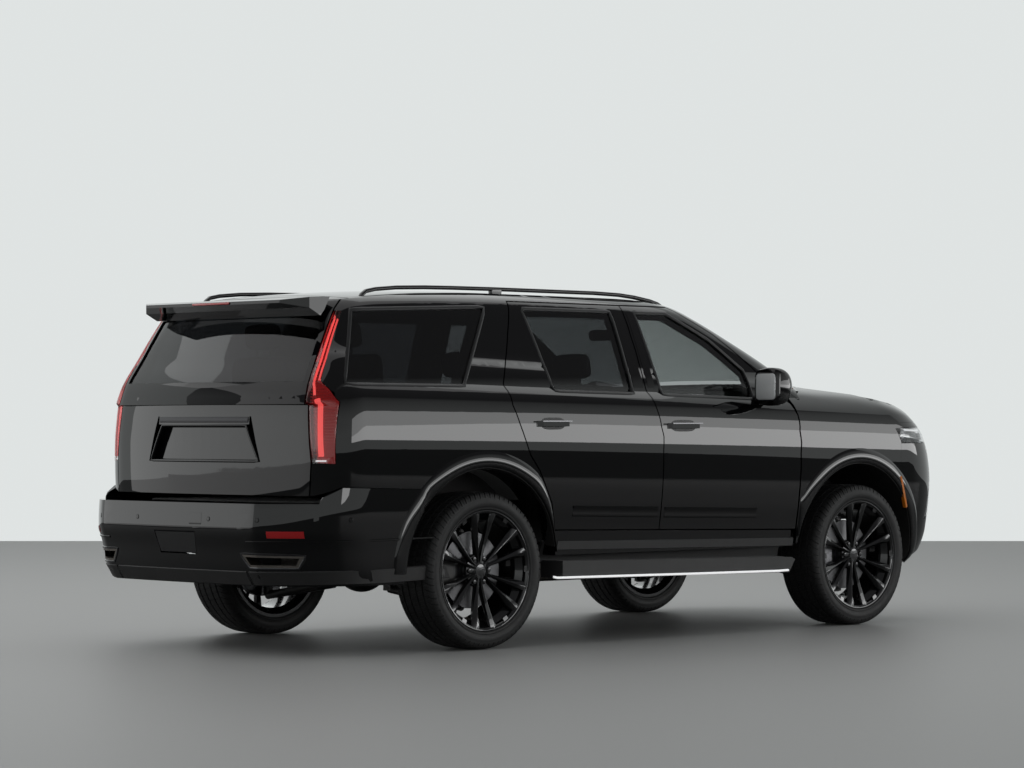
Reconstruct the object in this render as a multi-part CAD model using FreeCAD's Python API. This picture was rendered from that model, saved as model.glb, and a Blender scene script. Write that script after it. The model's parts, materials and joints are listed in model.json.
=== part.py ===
"""A full-size sport utility vehicle: hollow cabin, opening panels, steered front wheels and free rolling wheels.

Millimetres. +X is forward, +Y is the left side, +Z is up. The origin is on the ground, halfway along the
vehicle and on its centre line.
"""
import FreeCAD, Part
import functools
import math
import os

V = FreeCAD.Vector

# Driving dimensions of the whole vehicle
LENGTH = 5382.0
HALF_WIDTH = 1026.0
HEIGHT = 1948.0
WHEELBASE = 3071.0
FRONT_OVERHANG = 985.0
TRACK = 1737.0

# Road wheels
TYRE_RADIUS = 419.0
TYRE_WIDTH = 285.0
TYRE_SEAT = 0.3
RIM_RADIUS = 322.0
RIM_WIDTH = 266.0
BARREL_WALL = 12.0
SPOKE_PAIRS = 6
HUB_RADIUS = 92.0
HUB_RECESS = 48.0
SPINDLE_RADIUS = 30.0
SPINDLE_FIT = 0.3
DISC_RADIUS = 205.0
DISC_THICKNESS = 30.0
CALIPER_GAP = 6.0

# Wheel arches
ARCH_RADIUS = 546.0
LINER = 6.0
COWL_HALF = 560.0
LINER_Y = 479.0

# Body walls, measured square to the outer skin
THIN_PANEL = 26.0
FENDER_LAYER = 36.0
DOOR_WALL = 100.0
DOOR_FRAME = 50.0
POCKET_GAP = 9.0
DOOR_POCKET = 137.0
PILLAR = 36.0
ROOF_WALL = 46.0
GATE_WALL = 104.0
GLASS = 6.0
GLASS_INSET = 9.0
SHUT_GAP = 8.0
SEAT_GAP = 0.3
BUMPER_WALL = 34.0

# Lines of the side view
RAKE = 1.1
RAKE_PIVOT_Z = 760.0
BELT_TOP = 1385.0
ROOF_JOINT_Y = 680.0
ROOF_CROWN = 27.0
SILL_BOTTOM = 486.0
DOOR_BOTTOM_REAR = 606.0
DOOR_BOTTOM_FRONT = 582.0
GATE_BOTTOM = 828.0
FLOOR_TOP = 590.0
TOE_BOARD_X = 1215.0
LOAD_FLOOR_TOP = 790.0
GATE_SEAM_GAP = 12.0
BUMPER_TOP = 789.0

# Steered knuckles
STEER_OFFSET = 60.0
RAIL_INNER_Y = 400.0
RAIL_WIDTH = 76.0
RAIL_FRONT_X = 2380.0
RAIL_REAR_X = -2350.0
KNUCKLE_RISE = 200.0
POST_RADIUS = 27.0
EYE_RADIUS = 38.0

# Panel hinges: a pin in a slot of the moving leaf, and an arm with an eye around it
PIN_RADIUS = 5.0
PIN_FIT = 0.3
EYE_WALL = 4.0
ARM_HALF = 9.0
SLOT_GAP = 5.0
HINGE_SKIN = 6.0
HINGE_SETBACK = 68.0
HINGE_INSET = 20.0
DOOR_HINGE_Z = (880.0, 1140.0)
FRONT_HINGE_X = 1089.0
REAR_HINGE_X = -90.0
HOOD_HINGE_X = 1400.0
HOOD_HINGE_Y = 706.0
HOOD_ARM_Z = 1298.0
GATE_HINGE_Y = 250.0
GATE_HINGE_DEPTH = 18.0
GATE_ARM_REACH = 84.0
LID_HINGE_SETBACK = 30.0
LID_HINGE_INSET = 13.0

# Steering column
STEERING_HUB = (600.0, 400.0, 1198.7)
COLUMN_AXIS = (-320.0, 0.0, 70.0)
BOSS_HALF = 17.0

# Fuel filler lid on the left quarter: x and z limits, and the depth behind it
FUEL_DOOR = (-1990.0, -1815.0, 1030.0, 1205.0)
FUEL_RECESS = 62.0

# Hitch receiver
RECEIVER = 51.0
RECEIVER_PIN = 8.0

# Derived places
NOSE_X = LENGTH / 2.0
TAIL_X = -LENGTH / 2.0
FRONT_AXLE_X = NOSE_X - FRONT_OVERHANG
REAR_AXLE_X = FRONT_AXLE_X - WHEELBASE
WHEEL_Y = TRACK / 2.0
RIM_LIP_Y = WHEEL_Y + RIM_WIDTH / 2.0
STEER_Y = WHEEL_Y - STEER_OFFSET
DISC_Y = STEER_Y + 46.0
KNUCKLE_LOW = TYRE_RADIUS - KNUCKLE_RISE
KNUCKLE_HIGH = TYRE_RADIUS + KNUCKLE_RISE
BRACKET_Y = (-RAIL_INNER_Y - RAIL_WIDTH / 2.0, RAIL_INNER_Y + RAIL_WIDTH / 2.0)
B_LINE = [(-26.0, DOOR_BOTTOM_REAR), (-18.0, 1129.0), (-68.0, 1312.0), (-80.0, 1400.0), (-112.0, 1866.0)]

os.makedirs("parts", exist_ok=True)


def save(name, shape):
    """Write one sub-part to its own STEP file."""
    if not shape.isValid():
        print("not valid:", name)
    shape.exportStep("parts/" + name + ".step")
    print(name, len(shape.Solids), "solids, volume", round(shape.Volume / 1e6, 3), "litres")


def box(x0, x1, y0, y1, z0, z1):
    """Block between two corners."""
    return Part.makeBox(x1 - x0, y1 - y0, z1 - z0, V(x0, y0, z0))


def tube_y(radius, x, z, y0, y1):
    """Cylinder across the vehicle."""
    return Part.makeCylinder(radius, y1 - y0, V(x, y0, z), V(0, 1, 0))


def rod(start, end, radius):
    """Round bar between two points."""
    a = V(*start)
    b = V(*end)
    return Part.makeCylinder(radius, (b - a).Length, a, b - a)


def face_of(points):
    """Flat face inside a closed outline of points."""
    return Part.Face(Part.makePolygon([V(*p) for p in points] + [V(*points[0])]))


def side_prism(outline, y0=-1200.0, y1=1200.0, grow=0.0):
    """Solid whose side view is the outline of (x, z) points, optionally grown."""
    face = face_of([(x, y0, z) for x, z in outline])
    if grow:
        face = Part.Face(face.OuterWire.makeOffset2D(grow, 2))
    return face.extrude(V(0, y1 - y0, 0))


def rear_prism(outline, x0, x1, grow=0.0):
    """Solid whose rear view is the outline of (y, z) points, optionally grown."""
    face = face_of([(x0, y, z) for y, z in outline])
    if grow:
        face = Part.Face(face.OuterWire.makeOffset2D(grow, 2))
    return face.extrude(V(x1 - x0, 0, 0))


def plan_prism(outline, z0, z1):
    """Solid whose plan is the outline of (x, y) points."""
    return face_of([(x, y, z0) for x, y in outline]).extrude(V(0, 0, z1 - z0))


def both_sides(outline):
    """Outline of one half made symmetrical about the centre line, first value across."""
    return outline + [(-y, z) for y, z in reversed(outline)]


def mirrored(shape):
    """Copy of a right-hand piece on the left-hand side."""
    return shape.mirror(V(0, 0, 0), V(0, 1, 0))


def group(shapes):
    """Several solids kept apart in one node."""
    solids = []
    for shape in shapes:
        solids.extend(shape.Solids)
    return Part.makeCompound(solids)


def one(shape):
    """The largest solid of a cut, with merged faces."""
    solid = max(shape.Solids, key=lambda s: s.Volume)
    return solid.removeSplitter()


def plan_wire(z, half, tail, nose, tail_corner, nose_corner, bow):
    """Closed plan outline at one height: bowed sides, arched ends and soft corners.

    A corner is (how far the side ends before the end, how far its control point is,
    how far the arch's end is, and how far inboard that lies).
    """
    side_drop, control, end_depth, end_in = tail_corner
    nose_drop, nose_control, nose_depth, nose_in = nose_corner
    tail_half = half - bow[0]
    nose_half = half - bow[1]
    edges = []
    s_tail = V(tail + side_drop, tail_half, z)
    c_tail = V(tail + control, tail_half, z)
    e_tail = V(tail + end_depth, tail_half - end_in, z)
    s_nose = V(nose - nose_drop, nose_half, z)
    c_nose = V(nose - nose_control, nose_half, z)
    e_nose = V(nose - nose_depth, nose_half - nose_in, z)
    flip = [V(p.x, -p.y, p.z) for p in (s_tail, c_tail, e_tail, s_nose, c_nose, e_nose)]
    middle = V(-200.0, half, z)

    def corner(a, b, c):
        curve = Part.BezierCurve()
        curve.setPoles([a, b, c])
        return curve.toShape()

    edges.append(Part.Arc(s_tail, middle, s_nose).toShape())
    edges.append(corner(s_nose, c_nose, e_nose))
    edges.append(Part.Arc(e_nose, V(nose, 0, z), flip[5]).toShape())
    edges.append(corner(flip[5], flip[4], flip[3]))
    edges.append(Part.Arc(flip[3], V(-200.0, -half, z), flip[0]).toShape())
    edges.append(corner(flip[0], flip[1], flip[2]))
    edges.append(Part.Arc(flip[2], V(tail, 0, z), e_tail).toShape())
    edges.append(corner(e_tail, c_tail, s_tail))
    return Part.Wire(edges)


def stack(levels, inset, end_inset, tail_corner, nose_corner, bow, ruled=True):
    """Solid through plan outlines at rising heights: (height, half width, tail x, nose x)."""
    wires = []
    for z, half, tail, nose in levels:
        wires.append(plan_wire(z, half - inset, tail + end_inset, nose - end_inset, tail_corner, nose_corner, bow))
    return Part.makeLoft(wires, True, ruled)


def crowned_block(stations, drop, down):
    """Solid under a surface crowned across: stations of (x, height on the centre line)."""
    wires = []
    reach = 1150.0
    for x, z in stations:
        fall = drop * (reach / ROOF_JOINT_Y) ** 2
        arc = Part.Arc(V(x, -reach, z - down - fall), V(x, 0, z - down), V(x, reach, z - down - fall)).toShape()
        right = Part.makeLine(V(x, reach, z - down - fall), V(x, reach, 100))
        floor = Part.makeLine(V(x, reach, 100), V(x, -reach, 100))
        left = Part.makeLine(V(x, -reach, 100), V(x, -reach, z - down - fall))
        wires.append(Part.Wire([arc, right, floor, left]))
    return Part.makeLoft(wires, True, True)


# Lower body: height before the rake, half width less than the widest, tail and nose against the widest ends
LOWER_LEVELS = [
    (250.0, 62.0, 271.0, 441.0),
    (400.0, 50.0, 241.0, 191.0),
    (480.0, 45.0, 221.0, 51.0),
    (620.0, 30.0, 201.0, 3.0),
    (760.0, 12.0, 191.0, 0.0),
    (900.0, 2.0, 188.0, 1.0),
    (1050.0, 0.0, 186.0, 26.0),
    (1180.0, 4.0, 191.0, 79.0),
    (1290.0, 16.0, 199.0, 191.0),
    (BELT_TOP, 86.0, 213.0, 341.0),
    (1490.0, 340.0, 400.0, 641.0),
]
# Cabin above the belt: height, half width, tail x, windscreen x
CABIN_LEVELS = [
    (1300.0, 953.0, -2500.0, 1720.0),
    (1398.0, 944.0, -2470.0, 1520.0),
    (1544.0, 899.0, -2397.0, 1280.0),
    (1688.0, 850.0, -2325.0, 1000.0),
    (1800.0, 806.0, -2268.0, 770.0),
    (1860.0, 770.0, -2238.0, 640.0),
    (1905.0, 705.0, -2215.0, 500.0),
    (1945.0, 610.0, -2190.0, 380.0),
]
HOOD_STATIONS = [(-2900.0, 1640.0), (1100.0, 1492.0), (1425.0, 1450.0), (1783.0, 1422.0), (2121.0, 1374.0),
                 (2379.0, 1312.0), (2517.0, 1251.0), (2620.0, 1160.0), (2800.0, 860.0)]
ROOF_STATIONS = [(-2700.0, 1780.0), (-2200.0, 1868.0), (-1947.0, 1898.0), (-1520.0, 1926.0), (-1078.0, 1936.0),
                 (-64.0, 1934.0), (182.0, 1924.0), (385.0, 1898.0), (587.0, 1862.0), (1900.0, 1560.0)]
HOOD_CROWN = 30.0


@functools.lru_cache(maxsize=None)
def lower_body(inset, end_inset=None):
    """Lower body solid, drawn in by an inset all round."""
    end = inset if end_inset is None else end_inset
    levels = [(z, HALF_WIDTH - less, TAIL_X + t, NOSE_X - n) for z, less, t, n in LOWER_LEVELS]
    body = stack(levels, inset, end, (300.0, 95.0, 60.0, 235.0), (491.0, 111.0, 19.0, 380.0), (42.0, 38.0))
    body.rotate(V(0, 0, RAKE_PIVOT_Z), V(0, 1, 0), RAKE)
    return body.common(crowned_block(HOOD_STATIONS, HOOD_CROWN, inset))


@functools.lru_cache(maxsize=None)
def cabin_body(inset, end_inset=None, top_inset=None):
    """Cabin solid above the belt, drawn in by an inset all round."""
    end = inset if end_inset is None else end_inset
    top = inset if top_inset is None else top_inset
    body = stack(CABIN_LEVELS, inset, end, (220.0, 79.0, 50.0, 170.0), (420.0, 190.0, 110.0, 250.0), (40.0, 12.0))
    return body.common(crowned_block(ROOF_STATIONS, ROOF_CROWN, top))


def envelope(low, high, end_inset=None, top_inset=None):
    """Whole body solid with one inset below the belt and another above it."""
    return lower_body(low, end_inset).fuse(cabin_body(high, end_inset, top_inset))


def beyond(y):
    """Two blocks that keep only what lies further out than y on both sides."""
    return group([box(-3200, 3200, y, 1400, 0, 2200), box(-3200, 3200, -1400, -y, 0, 2200)])


def arches(radius, inner_y, outer_y=1300.0, axles=None):
    """Cylinders across all four wheel places."""
    shapes = []
    for x in axles or (FRONT_AXLE_X, REAR_AXLE_X):
        shapes.append(tube_y(radius, x, TYRE_RADIUS, inner_y, outer_y))
        shapes.append(tube_y(radius, x, TYRE_RADIUS, -outer_y, -inner_y))
    return group(shapes)


# Outlines of the side view, as (x, z)
DOOR_TOP = 1866.0
FRONT_DOOR = B_LINE + [(290.0, DOOR_TOP), (340.0, 1848.0), (610.0, 1715.0), (860.0, 1530.0), (985.0, 1410.0),
                       (1105.0, 1320.0), (1145.0, 1253.0), (1161.0, 1088.0), (1152.0, 771.0),
                       (1144.0, DOOR_BOTTOM_FRONT)]
REAR_DOOR = B_LINE + [(-990.0, DOOR_TOP), (-1005.0, 1810.0), (-1169.0, 1415.0), (-1168.0, 1299.0),
                      (-1049.0, 1031.0), (-978.0, 944.0), (-878.0, 769.0), (-840.0, 622.0)]
FRONT_WINDOW = [(-11.0, 1820.0), (48.0, 1372.0), (809.0, 1352.0), (773.0, 1505.0), (543.0, 1676.0), (301.0, 1794.0),
                (250.0, 1820.0)]
REAR_WINDOW = [(-221.0, 1820.0), (-199.0, 1376.0), (-800.0, 1386.0), (-898.0, 1812.0), (-890.0, 1820.0)]
QUARTER_WINDOW = [(-2262.0, 1412.0), (-2104.0, 1788.0), (-1190.0, 1822.0), (-1466.0, 1410.0)]
SIDE_REGION = [(-2700.0, GATE_BOTTOM), (-2700.0, 2050.0), (1500.0, 2050.0), (1500.0, 1392.0), (1232.0, 1392.0),
               (1232.0, SILL_BOTTOM), (-1800.0, SILL_BOTTOM), (-1800.0, 858.0), (-2330.0, 874.0),
               (-2420.0, GATE_BOTTOM)]
FENDER_REGION = [(1500.0, 1700.0), (1170.0, 1700.0), (1130.0, 1420.0), (1130.0, 1320.0), (1153.0, 1253.0),
                 (1169.0, 1088.0), (1160.0, 771.0), (1152.0, 500.0), (2190.0, 500.0), (2190.0, 800.0),
                 (2110.0, 960.0), (2110.0, 1208.0), (2420.0, 1208.0), (2420.0, 1700.0)]

# Outlines of the rear and front views, half of each, as (y, z)
GATE_EDGE = [(800.0, GATE_BOTTOM), (812.0, 999.0), (768.0, 1399.0), (702.0, 1800.0), (690.0, 1900.0), (690.0, 2000.0)]
GATE_WINDOW = [(740.0, 1418.0), (682.0, 1762.0)]
LAMP_OUTLINE = [(820.0, 999.0), (776.0, 1399.0), (711.0, 1790.0), (742.0, 1796.0), (830.0, 1420.0), (872.0, 1385.0),
                (930.0, 1310.0), (930.0, 993.0)]
WINDSCREEN_EDGE = [(862.0, 1400.0), (810.0, 1560.0), (700.0, 1800.0), (660.0, 1852.0)]
GRILLE_EDGE = [(430.0, 560.0), (590.0, 640.0), (590.0, 1120.0), (560.0, 1150.0)]
GATE_SEAM_X = -2075.0
PLATE_RECESS = [(470.0, 1000.0), (392.0, 1238.0)]
PLATE_RECESS_DEPTH = 34.0
PLATE_LAMP_Z = (1196.0, 1240.0)
PLATE_LAMP_HALF = 380.0
GATE_AXIS_X = GATE_SEAM_X - HINGE_SETBACK

OUTER = envelope(0.0, 0.0)
WALL_INNER = envelope(DOOR_POCKET + PILLAR, DOOR_FRAME + POCKET_GAP + PILLAR, GATE_WALL + 10.0, ROOF_WALL)
DOOR_INNER = envelope(DOOR_WALL, DOOR_FRAME)
POCKET_INNER = envelope(DOOR_POCKET, DOOR_FRAME + POCKET_GAP)
LOWER_OUTER = lower_body(0.0)
THIN_LAYER = LOWER_OUTER.cut(lower_body(THIN_PANEL))
HINGE_LAYER = lower_body(HINGE_SKIN)
FENDER_SPACE = LOWER_OUTER.cut(lower_body(FENDER_LAYER))
WALL = OUTER.cut(WALL_INNER)
DOOR_LAYER = OUTER.cut(DOOR_INNER)
POCKET_LAYER = envelope(-20.0, -20.0).cut(POCKET_INNER)
PANE_LAYER = cabin_body(GLASS_INSET).cut(cabin_body(GLASS_INSET + GLASS))


def hood_plan(grow=0.0):
    """Plan prism of the hood: bowed rear and front edges."""
    rear = [V(1290 - grow, -772 - grow, 1000), V(1540 - grow, 0, 1000), V(1290 - grow, 772 + grow, 1000)]
    front = [V(2430 + grow, 735 + grow, 1000), V(2575 + grow, 0, 1000), V(2430 + grow, -735 - grow, 1000)]
    edges = [Part.Arc(*rear).toShape(), Part.makeLine(rear[2], front[0]), Part.Arc(*front).toShape(),
             Part.makeLine(front[2], rear[0])]
    return Part.Face(Part.Wire(edges)).extrude(V(0, 0, 800))


def make_side_walls():
    """Quarter panels, sills, pillars and cant rails, one wall a side, with door pockets and windows cut."""
    walls = WALL.common(side_prism(SIDE_REGION)).common(beyond(ROOF_JOINT_Y))
    walls = walls.cut(FENDER_SPACE.common(box(1100, 1600, -1300, 1300, 300, 1700)))
    walls = walls.cut(box(1270, 1386, -790, 790, 1384, 1402)).cut(box(1200, 1240, -722, 722, 1282, 1308))
    for outline in (FRONT_DOOR, REAR_DOOR):
        walls = walls.cut(POCKET_LAYER.common(side_prism(outline, grow=SHUT_GAP / 2)))
        walls = walls.cut(side_prism(outline, grow=-80.0))
    walls = walls.cut(side_prism(QUARTER_WINDOW))
    walls = walls.cut(arches(ARCH_RADIUS, 600))
    walls = walls.cut(rear_prism(both_sides(GATE_EDGE), -2800, GATE_SEAM_X + SHUT_GAP, grow=SHUT_GAP))
    walls = walls.cut(rear_prism(both_sides(WINDSCREEN_EDGE), 300, 1800))
    return walls


def make_side_doors():
    """Front and rear doors of the right side, each with its window cut."""
    doors = []
    for outline, window in ((FRONT_DOOR, FRONT_WINDOW), (REAR_DOOR, REAR_WINDOW)):
        door = DOOR_LAYER.common(side_prism(outline, -1200, -ROOF_JOINT_Y - SHUT_GAP, grow=-SHUT_GAP / 2))
        door = door.cut(side_prism(window, -1200, -500))
        doors.append(one(door))
    return doors


def pane(prism):
    """Glass of one window, cut by its prism."""
    return one(PANE_LAYER.common(prism))


def make_liftgate():
    """Liftgate shell with its rear window cut, and the roof spoiler on its top edge."""
    gate = DOOR_LAYER.common(rear_prism(both_sides(GATE_EDGE), -2800, GATE_SEAM_X))
    gate = one(gate.cut(rear_prism(both_sides(GATE_WINDOW), -2800, -2100)))
    blade = side_prism([(-2190.0, 1862.0), (-2330.0, 1856.0), (-2425.0, 1842.0), (-2428.0, 1826.0),
                        (-2330.0, 1800.0), (-2255.0, 1762.0), (-2230.0, 1790.0)], -690, 690)
    tips = plan_prism([(-2100, -690), (-2330, -690), (-2430, -560), (-2445, 0), (-2430, 560), (-2330, 690),
                       (-2100, 690)], 1700, 1900)
    spoiler = blade.common(tips).cut(OUTER)
    recess = rear_prism(both_sides(PLATE_RECESS), -2800, -2300).cut(lower_body(PLATE_RECESS_DEPTH))
    low, high = PLATE_LAMP_Z
    bar = LOWER_OUTER.cut(lower_body(PLATE_RECESS_DEPTH + 4)).common(
        box(-2800, -2300, -PLATE_LAMP_HALF, PLATE_LAMP_HALF, low, high))
    return gate.cut(recess).fuse(bar), spoiler


def make_tail_lamps():
    """Tall lamp on each rear corner."""
    right = DOOR_LAYER.common(rear_prism([(-y, z) for y, z in LAMP_OUTLINE], -2800, -2180, grow=-SEAT_GAP))
    right = one(right)
    return [right, mirrored(right)]


def make_front_panels():
    """Hood, fenders, front bumper cover and the pieces set into them."""
    hood = one(THIN_LAYER.common(hood_plan(0.0)))
    region = side_prism(FENDER_REGION)
    fenders = THIN_LAYER.common(region).cut(hood_plan(SHUT_GAP)).cut(arches(ARCH_RADIUS, 400, axles=[FRONT_AXLE_X]))
    fenders = fenders.common(beyond(640.0)).cut(box(1270, 1384, -764, 764, 1396, 1432))
    fenders = [one(f) for f in fenders.Solids if f.Volume > 1e6]
    layer = LOWER_OUTER.cut(lower_body(BUMPER_WALL)).common(box(1700, 2800, -1200, 1200, 300, 1500))
    nose = layer
    nose = nose.cut(side_prism(FENDER_REGION, grow=1.0)).cut(arches(ARCH_RADIUS, 400, axles=[FRONT_AXLE_X]))
    nose = nose.cut(hood_plan(SHUT_GAP))
    lamp_edge = [(618.0, 1100.0), (1040.0, 1078.0), (1040.0, 1176.0), (630.0, 1184.0)]
    strip_edge = [(868.0, 1056.0), (868.0, 640.0), (925.0, 612.0), (925.0, 1052.0)]
    lamps = []
    for side in (1.0, -1.0):
        for edge in (lamp_edge, strip_edge):
            prism = rear_prism([(side * y, z) for y, z in edge], 2112, 2800)
            nose = nose.cut(prism)
            lamp = layer.common(rear_prism([(side * y, z) for y, z in edge], 2114, 2800, grow=-SEAT_GAP))
            lamps.append(one(lamp.cut(hood_plan(SHUT_GAP)).cut(side_prism(FENDER_REGION, grow=1.0))))
    grille_prism = rear_prism(both_sides(GRILLE_EDGE), 2200, 2800)
    intake_prism = rear_prism([(-620.0, 470.0), (620.0, 470.0), (560.0, 385.0), (-560.0, 385.0)], 2200, 2800)
    nose = nose.cut(grille_prism).cut(intake_prism)
    brackets = [box(RAIL_FRONT_X, NOSE_X - 26, y - 32, y + 32, 500, 552) for y in BRACKET_Y]
    nose = one(nose.multiFuse(brackets))
    return hood, fenders, nose, lamps


def make_grille():
    """Grille: a surround with level bars and upright bars, bowed like the nose."""
    bow_radius = 9700.0
    front_x = NOSE_X - 14.0
    depth = 30.0
    centre = V(front_x - bow_radius, 0, GRILLE_EDGE[0][1])
    height = GRILLE_EDGE[-1][1] - GRILLE_EDGE[0][1]
    bowed = Part.makeCylinder(bow_radius, height, centre, V(0, 0, 1))
    bowed = bowed.cut(Part.makeCylinder(bow_radius - depth, height, centre, V(0, 0, 1)))
    plate = bowed.common(rear_prism(both_sides(GRILLE_EDGE), 2200, 2800, grow=-SEAT_GAP))
    inner = rear_prism(both_sides(GRILLE_EDGE), 2200, 2800, grow=-24.0)
    bar_count = 8
    post_count = 4
    step = height / (bar_count + 1)
    bars = []
    for i in range(bar_count):
        z = GRILLE_EDGE[0][1] + step * (i + 1)
        bars.append(box(2200, 2800, -620, 620, z - 8, z + 8))
    for i in range(post_count):
        y = (i - (post_count - 1) / 2) * 236.0
        bars.append(box(2200, 2800, y - 6, y + 6, 500, 1200))
    return one(plate.cut(inner.cut(bars[0].multiFuse(bars[1:]))))


def make_rear_bumper():
    """Rear bumper cover: a wrapped shell with a step on top and two exhaust finishers."""
    levels = [(365.0, 992.0, -2600.0), (430.0, 1000.0, -2640.0), (560.0, 1006.0, -2668.0), (650.0, 1010.0, TAIL_X),
              (760.0, 1014.0, TAIL_X + 6.0), (880.0, 1014.0, TAIL_X + 20.0)]
    top_line = [(-1700.0, 300.0), (-1700.0, 853.0), (-2326.0, 870.0), (-2424.0, GATE_BOTTOM - 5.0),
                (-2452.0, BUMPER_TOP), (-2800.0, BUMPER_TOP), (-2800.0, 300.0)]

    def cover(inset):
        rows = [(z, half, tail, 2400.0) for z, half, tail in levels]
        body = stack(rows, inset, inset, (531.0, 171.0, 23.0, 345.0), (500.0, 190.0, 110.0, 250.0), (32.0, 38.0))
        return body.common(side_prism([(x, z - inset) for x, z in top_line]))

    shell = cover(0.0).cut(cover(BUMPER_WALL))
    shell = shell.cut(box(-2470, -1700, -905, 905, 700, 900))
    shell = shell.common(box(-2800, -1803, -1200, 1200, 300, 900))
    shell = shell.cut(arches(ARCH_RADIUS, 600, axles=[REAR_AXLE_X]))
    rim_layer = cover(-2.0).cut(cover(2 * BUMPER_WALL))
    finishers = []
    for side in (1.0, -1.0):
        edge = [(side * 525, 528), (side * 845, 523), (side * 815, 462), (side * 575, 462)]
        shell = shell.cut(rear_prism(edge, -2800, -2400))
        ring = rear_prism(edge, -2800, -2400, grow=-SEAT_GAP).cut(rear_prism(edge, -2800, -2400, grow=-12.0))
        finishers.append(ring.common(rim_layer))
    shell = shell.cut(rear_prism([(-190, 640), (150, 640), (130, 520), (-170, 520)], -2800, -2400))
    brackets = [box(TAIL_X + 26, RAIL_REAR_X, y - 32, y + 32, 600, 670) for y in BRACKET_Y]
    return one(shell.multiFuse(brackets)), finishers


def make_roof():
    """Roof panel with the windscreen header and the rear header."""
    region = box(GATE_SEAM_X + GATE_SEAM_GAP, 760, -ROOF_JOINT_Y, ROOF_JOINT_Y, 1760, 2050)
    panel = WALL.common(region).cut(rear_prism(both_sides(WINDSCREEN_EDGE), 300, 1800))
    return one(panel)


def make_roof_rails():
    """Two rails along the roof edges with solid feet."""
    rails = []
    top = HEIGHT
    y = 655.0
    profile = [(-1960.0, top - 74), (-1935.0, top - 44), (-1800.0, top - 20), (-1300.0, top - 3), (-1000.0, top),
               (-200.0, top), (60.0, top - 12), (330.0, top - 52), (352.0, top - 82), (300.0, top - 82),
               (250.0, top - 58), (40.0, top - 34), (-200.0, top - 24), (-1000.0, top - 24), (-1300.0, top - 27),
               (-1800.0, top - 44), (-1880.0, top - 62), (-1900.0, top - 80)]
    bar = side_prism(profile, -y - 16, -y + 16)
    feet = group([box(-1010, -930, -y - 16, -y + 16, top - 70, top - 20)])
    rail = one(bar.fuse(feet).cut(OUTER))
    rails = [rail, mirrored(rail)]
    return rails


def make_floor():
    """Cabin floor, toe board, kick-up over the rear axle and the wheelhouses."""
    sheet = side_prism([(TOE_BOARD_X, 1376.0), (TOE_BOARD_X - 30, 1376.0), (TOE_BOARD_X - 30, 640.0),
                        (1095.0, FLOOR_TOP), (-985.0, FLOOR_TOP), (-1075.0, LOAD_FLOOR_TOP),
                        (-2392.0, LOAD_FLOOR_TOP), (-2392.0, LOAD_FLOOR_TOP - 28), (-1094.0, LOAD_FLOOR_TOP - 28),
                        (-1004.0, FLOOR_TOP - 28), (1105.0, FLOOR_TOP - 28), (TOE_BOARD_X, 622.0)])
    floor = sheet.common(WALL_INNER)
    floor = floor.cut(arches(ARCH_RADIUS + 14, 690, axles=[REAR_AXLE_X]))
    floor = floor.cut(arches(ARCH_RADIUS + 14, 480, axles=[FRONT_AXLE_X]))
    houses = arches(ARCH_RADIUS + 14, 676, axles=[REAR_AXLE_X]).cut(arches(ARCH_RADIUS, 690, axles=[REAR_AXLE_X]))
    houses = houses.common(WALL_INNER).common(box(-2380, -900, -1200, 1200, 700, 1200))
    houses = houses.cut(box(-960, -800, -1200, 1200, 500, 1200))
    return floor, houses


def make_front_liners(carried):
    """Arched liner and inner wall over each front wheel, cut round what passes through them."""
    arch = arches(ARCH_RADIUS + LINER, LINER_Y, 1000, [FRONT_AXLE_X]).cut(
        arches(ARCH_RADIUS, LINER_Y - 10, 1010, [FRONT_AXLE_X]))
    wall = arches(ARCH_RADIUS + LINER, LINER_Y, LINER_Y + LINER, [FRONT_AXLE_X])
    low = box(800, 2600, -1100, 1100, 0, 300)
    liners = arch.fuse(wall.cut(box(800, 2600, -1100, 1100, 0, 610))).cut(low).common(lower_body(FENDER_LAYER + 2))
    liners = liners.cut(box(1000, 1238, -1100, 1100, 0, 2000)).cut(group(carried))
    return [one(group([half])) for half in
            (liners.common(box(800, 2600, -1100, 0, 0, 2000)), liners.common(box(800, 2600, 0, 1100, 0, 2000)))]


def make_frame():
    """Ladder frame: two rails with a kick-up over the rear axle, cross members and the hitch receiver."""
    rail_line = [(RAIL_FRONT_X, 480.0), (1150.0, 470.0), (960.0, 425.0), (-940.0, 425.0), (-1060.0, 590.0),
                 (-1830.0, 600.0), (RAIL_REAR_X, 575.0), (RAIL_REAR_X, 690.0), (-1830.0, 720.0), (-1110.0, 712.0),
                 (-1005.0, 548.0), (1060.0, 548.0), (1240.0, 600.0), (RAIL_FRONT_X, 600.0)]
    rails = [side_prism(rail_line, y, y + RAIL_WIDTH) for y in (-RAIL_INNER_Y - RAIL_WIDTH, RAIL_INNER_Y)]
    members = []
    for x, z0, z1 in ((2300.0, 500.0, 580.0), (640.0, 368.0, 430.0), (-900.0, 492.0, 546.0), (-2300.0, 600.0, 680.0)):
        members.append(box(x - 45, x + 45, -410, 410, z0, z1))
    for x in (850.0, 100.0, -650.0):
        for y0, y1 in ((-868.0, -470.0), (470.0, 868.0)):
            members.append(box(x - 30, x + 30, y0, y1, 430, SILL_BOTTOM))
    receiver = box(-2560, -2300, -38, 38, 562, 638)
    socket = box(-2600, -2360, -RECEIVER / 2, RECEIVER / 2, 600 - RECEIVER / 2, 600 + RECEIVER / 2)
    pin = tube_y(RECEIVER_PIN, -2500, 600, -60, 60)
    whole = rails[0].multiFuse([rails[1]] + members + [receiver])
    return one(whole.cut(socket).cut(pin))


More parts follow.
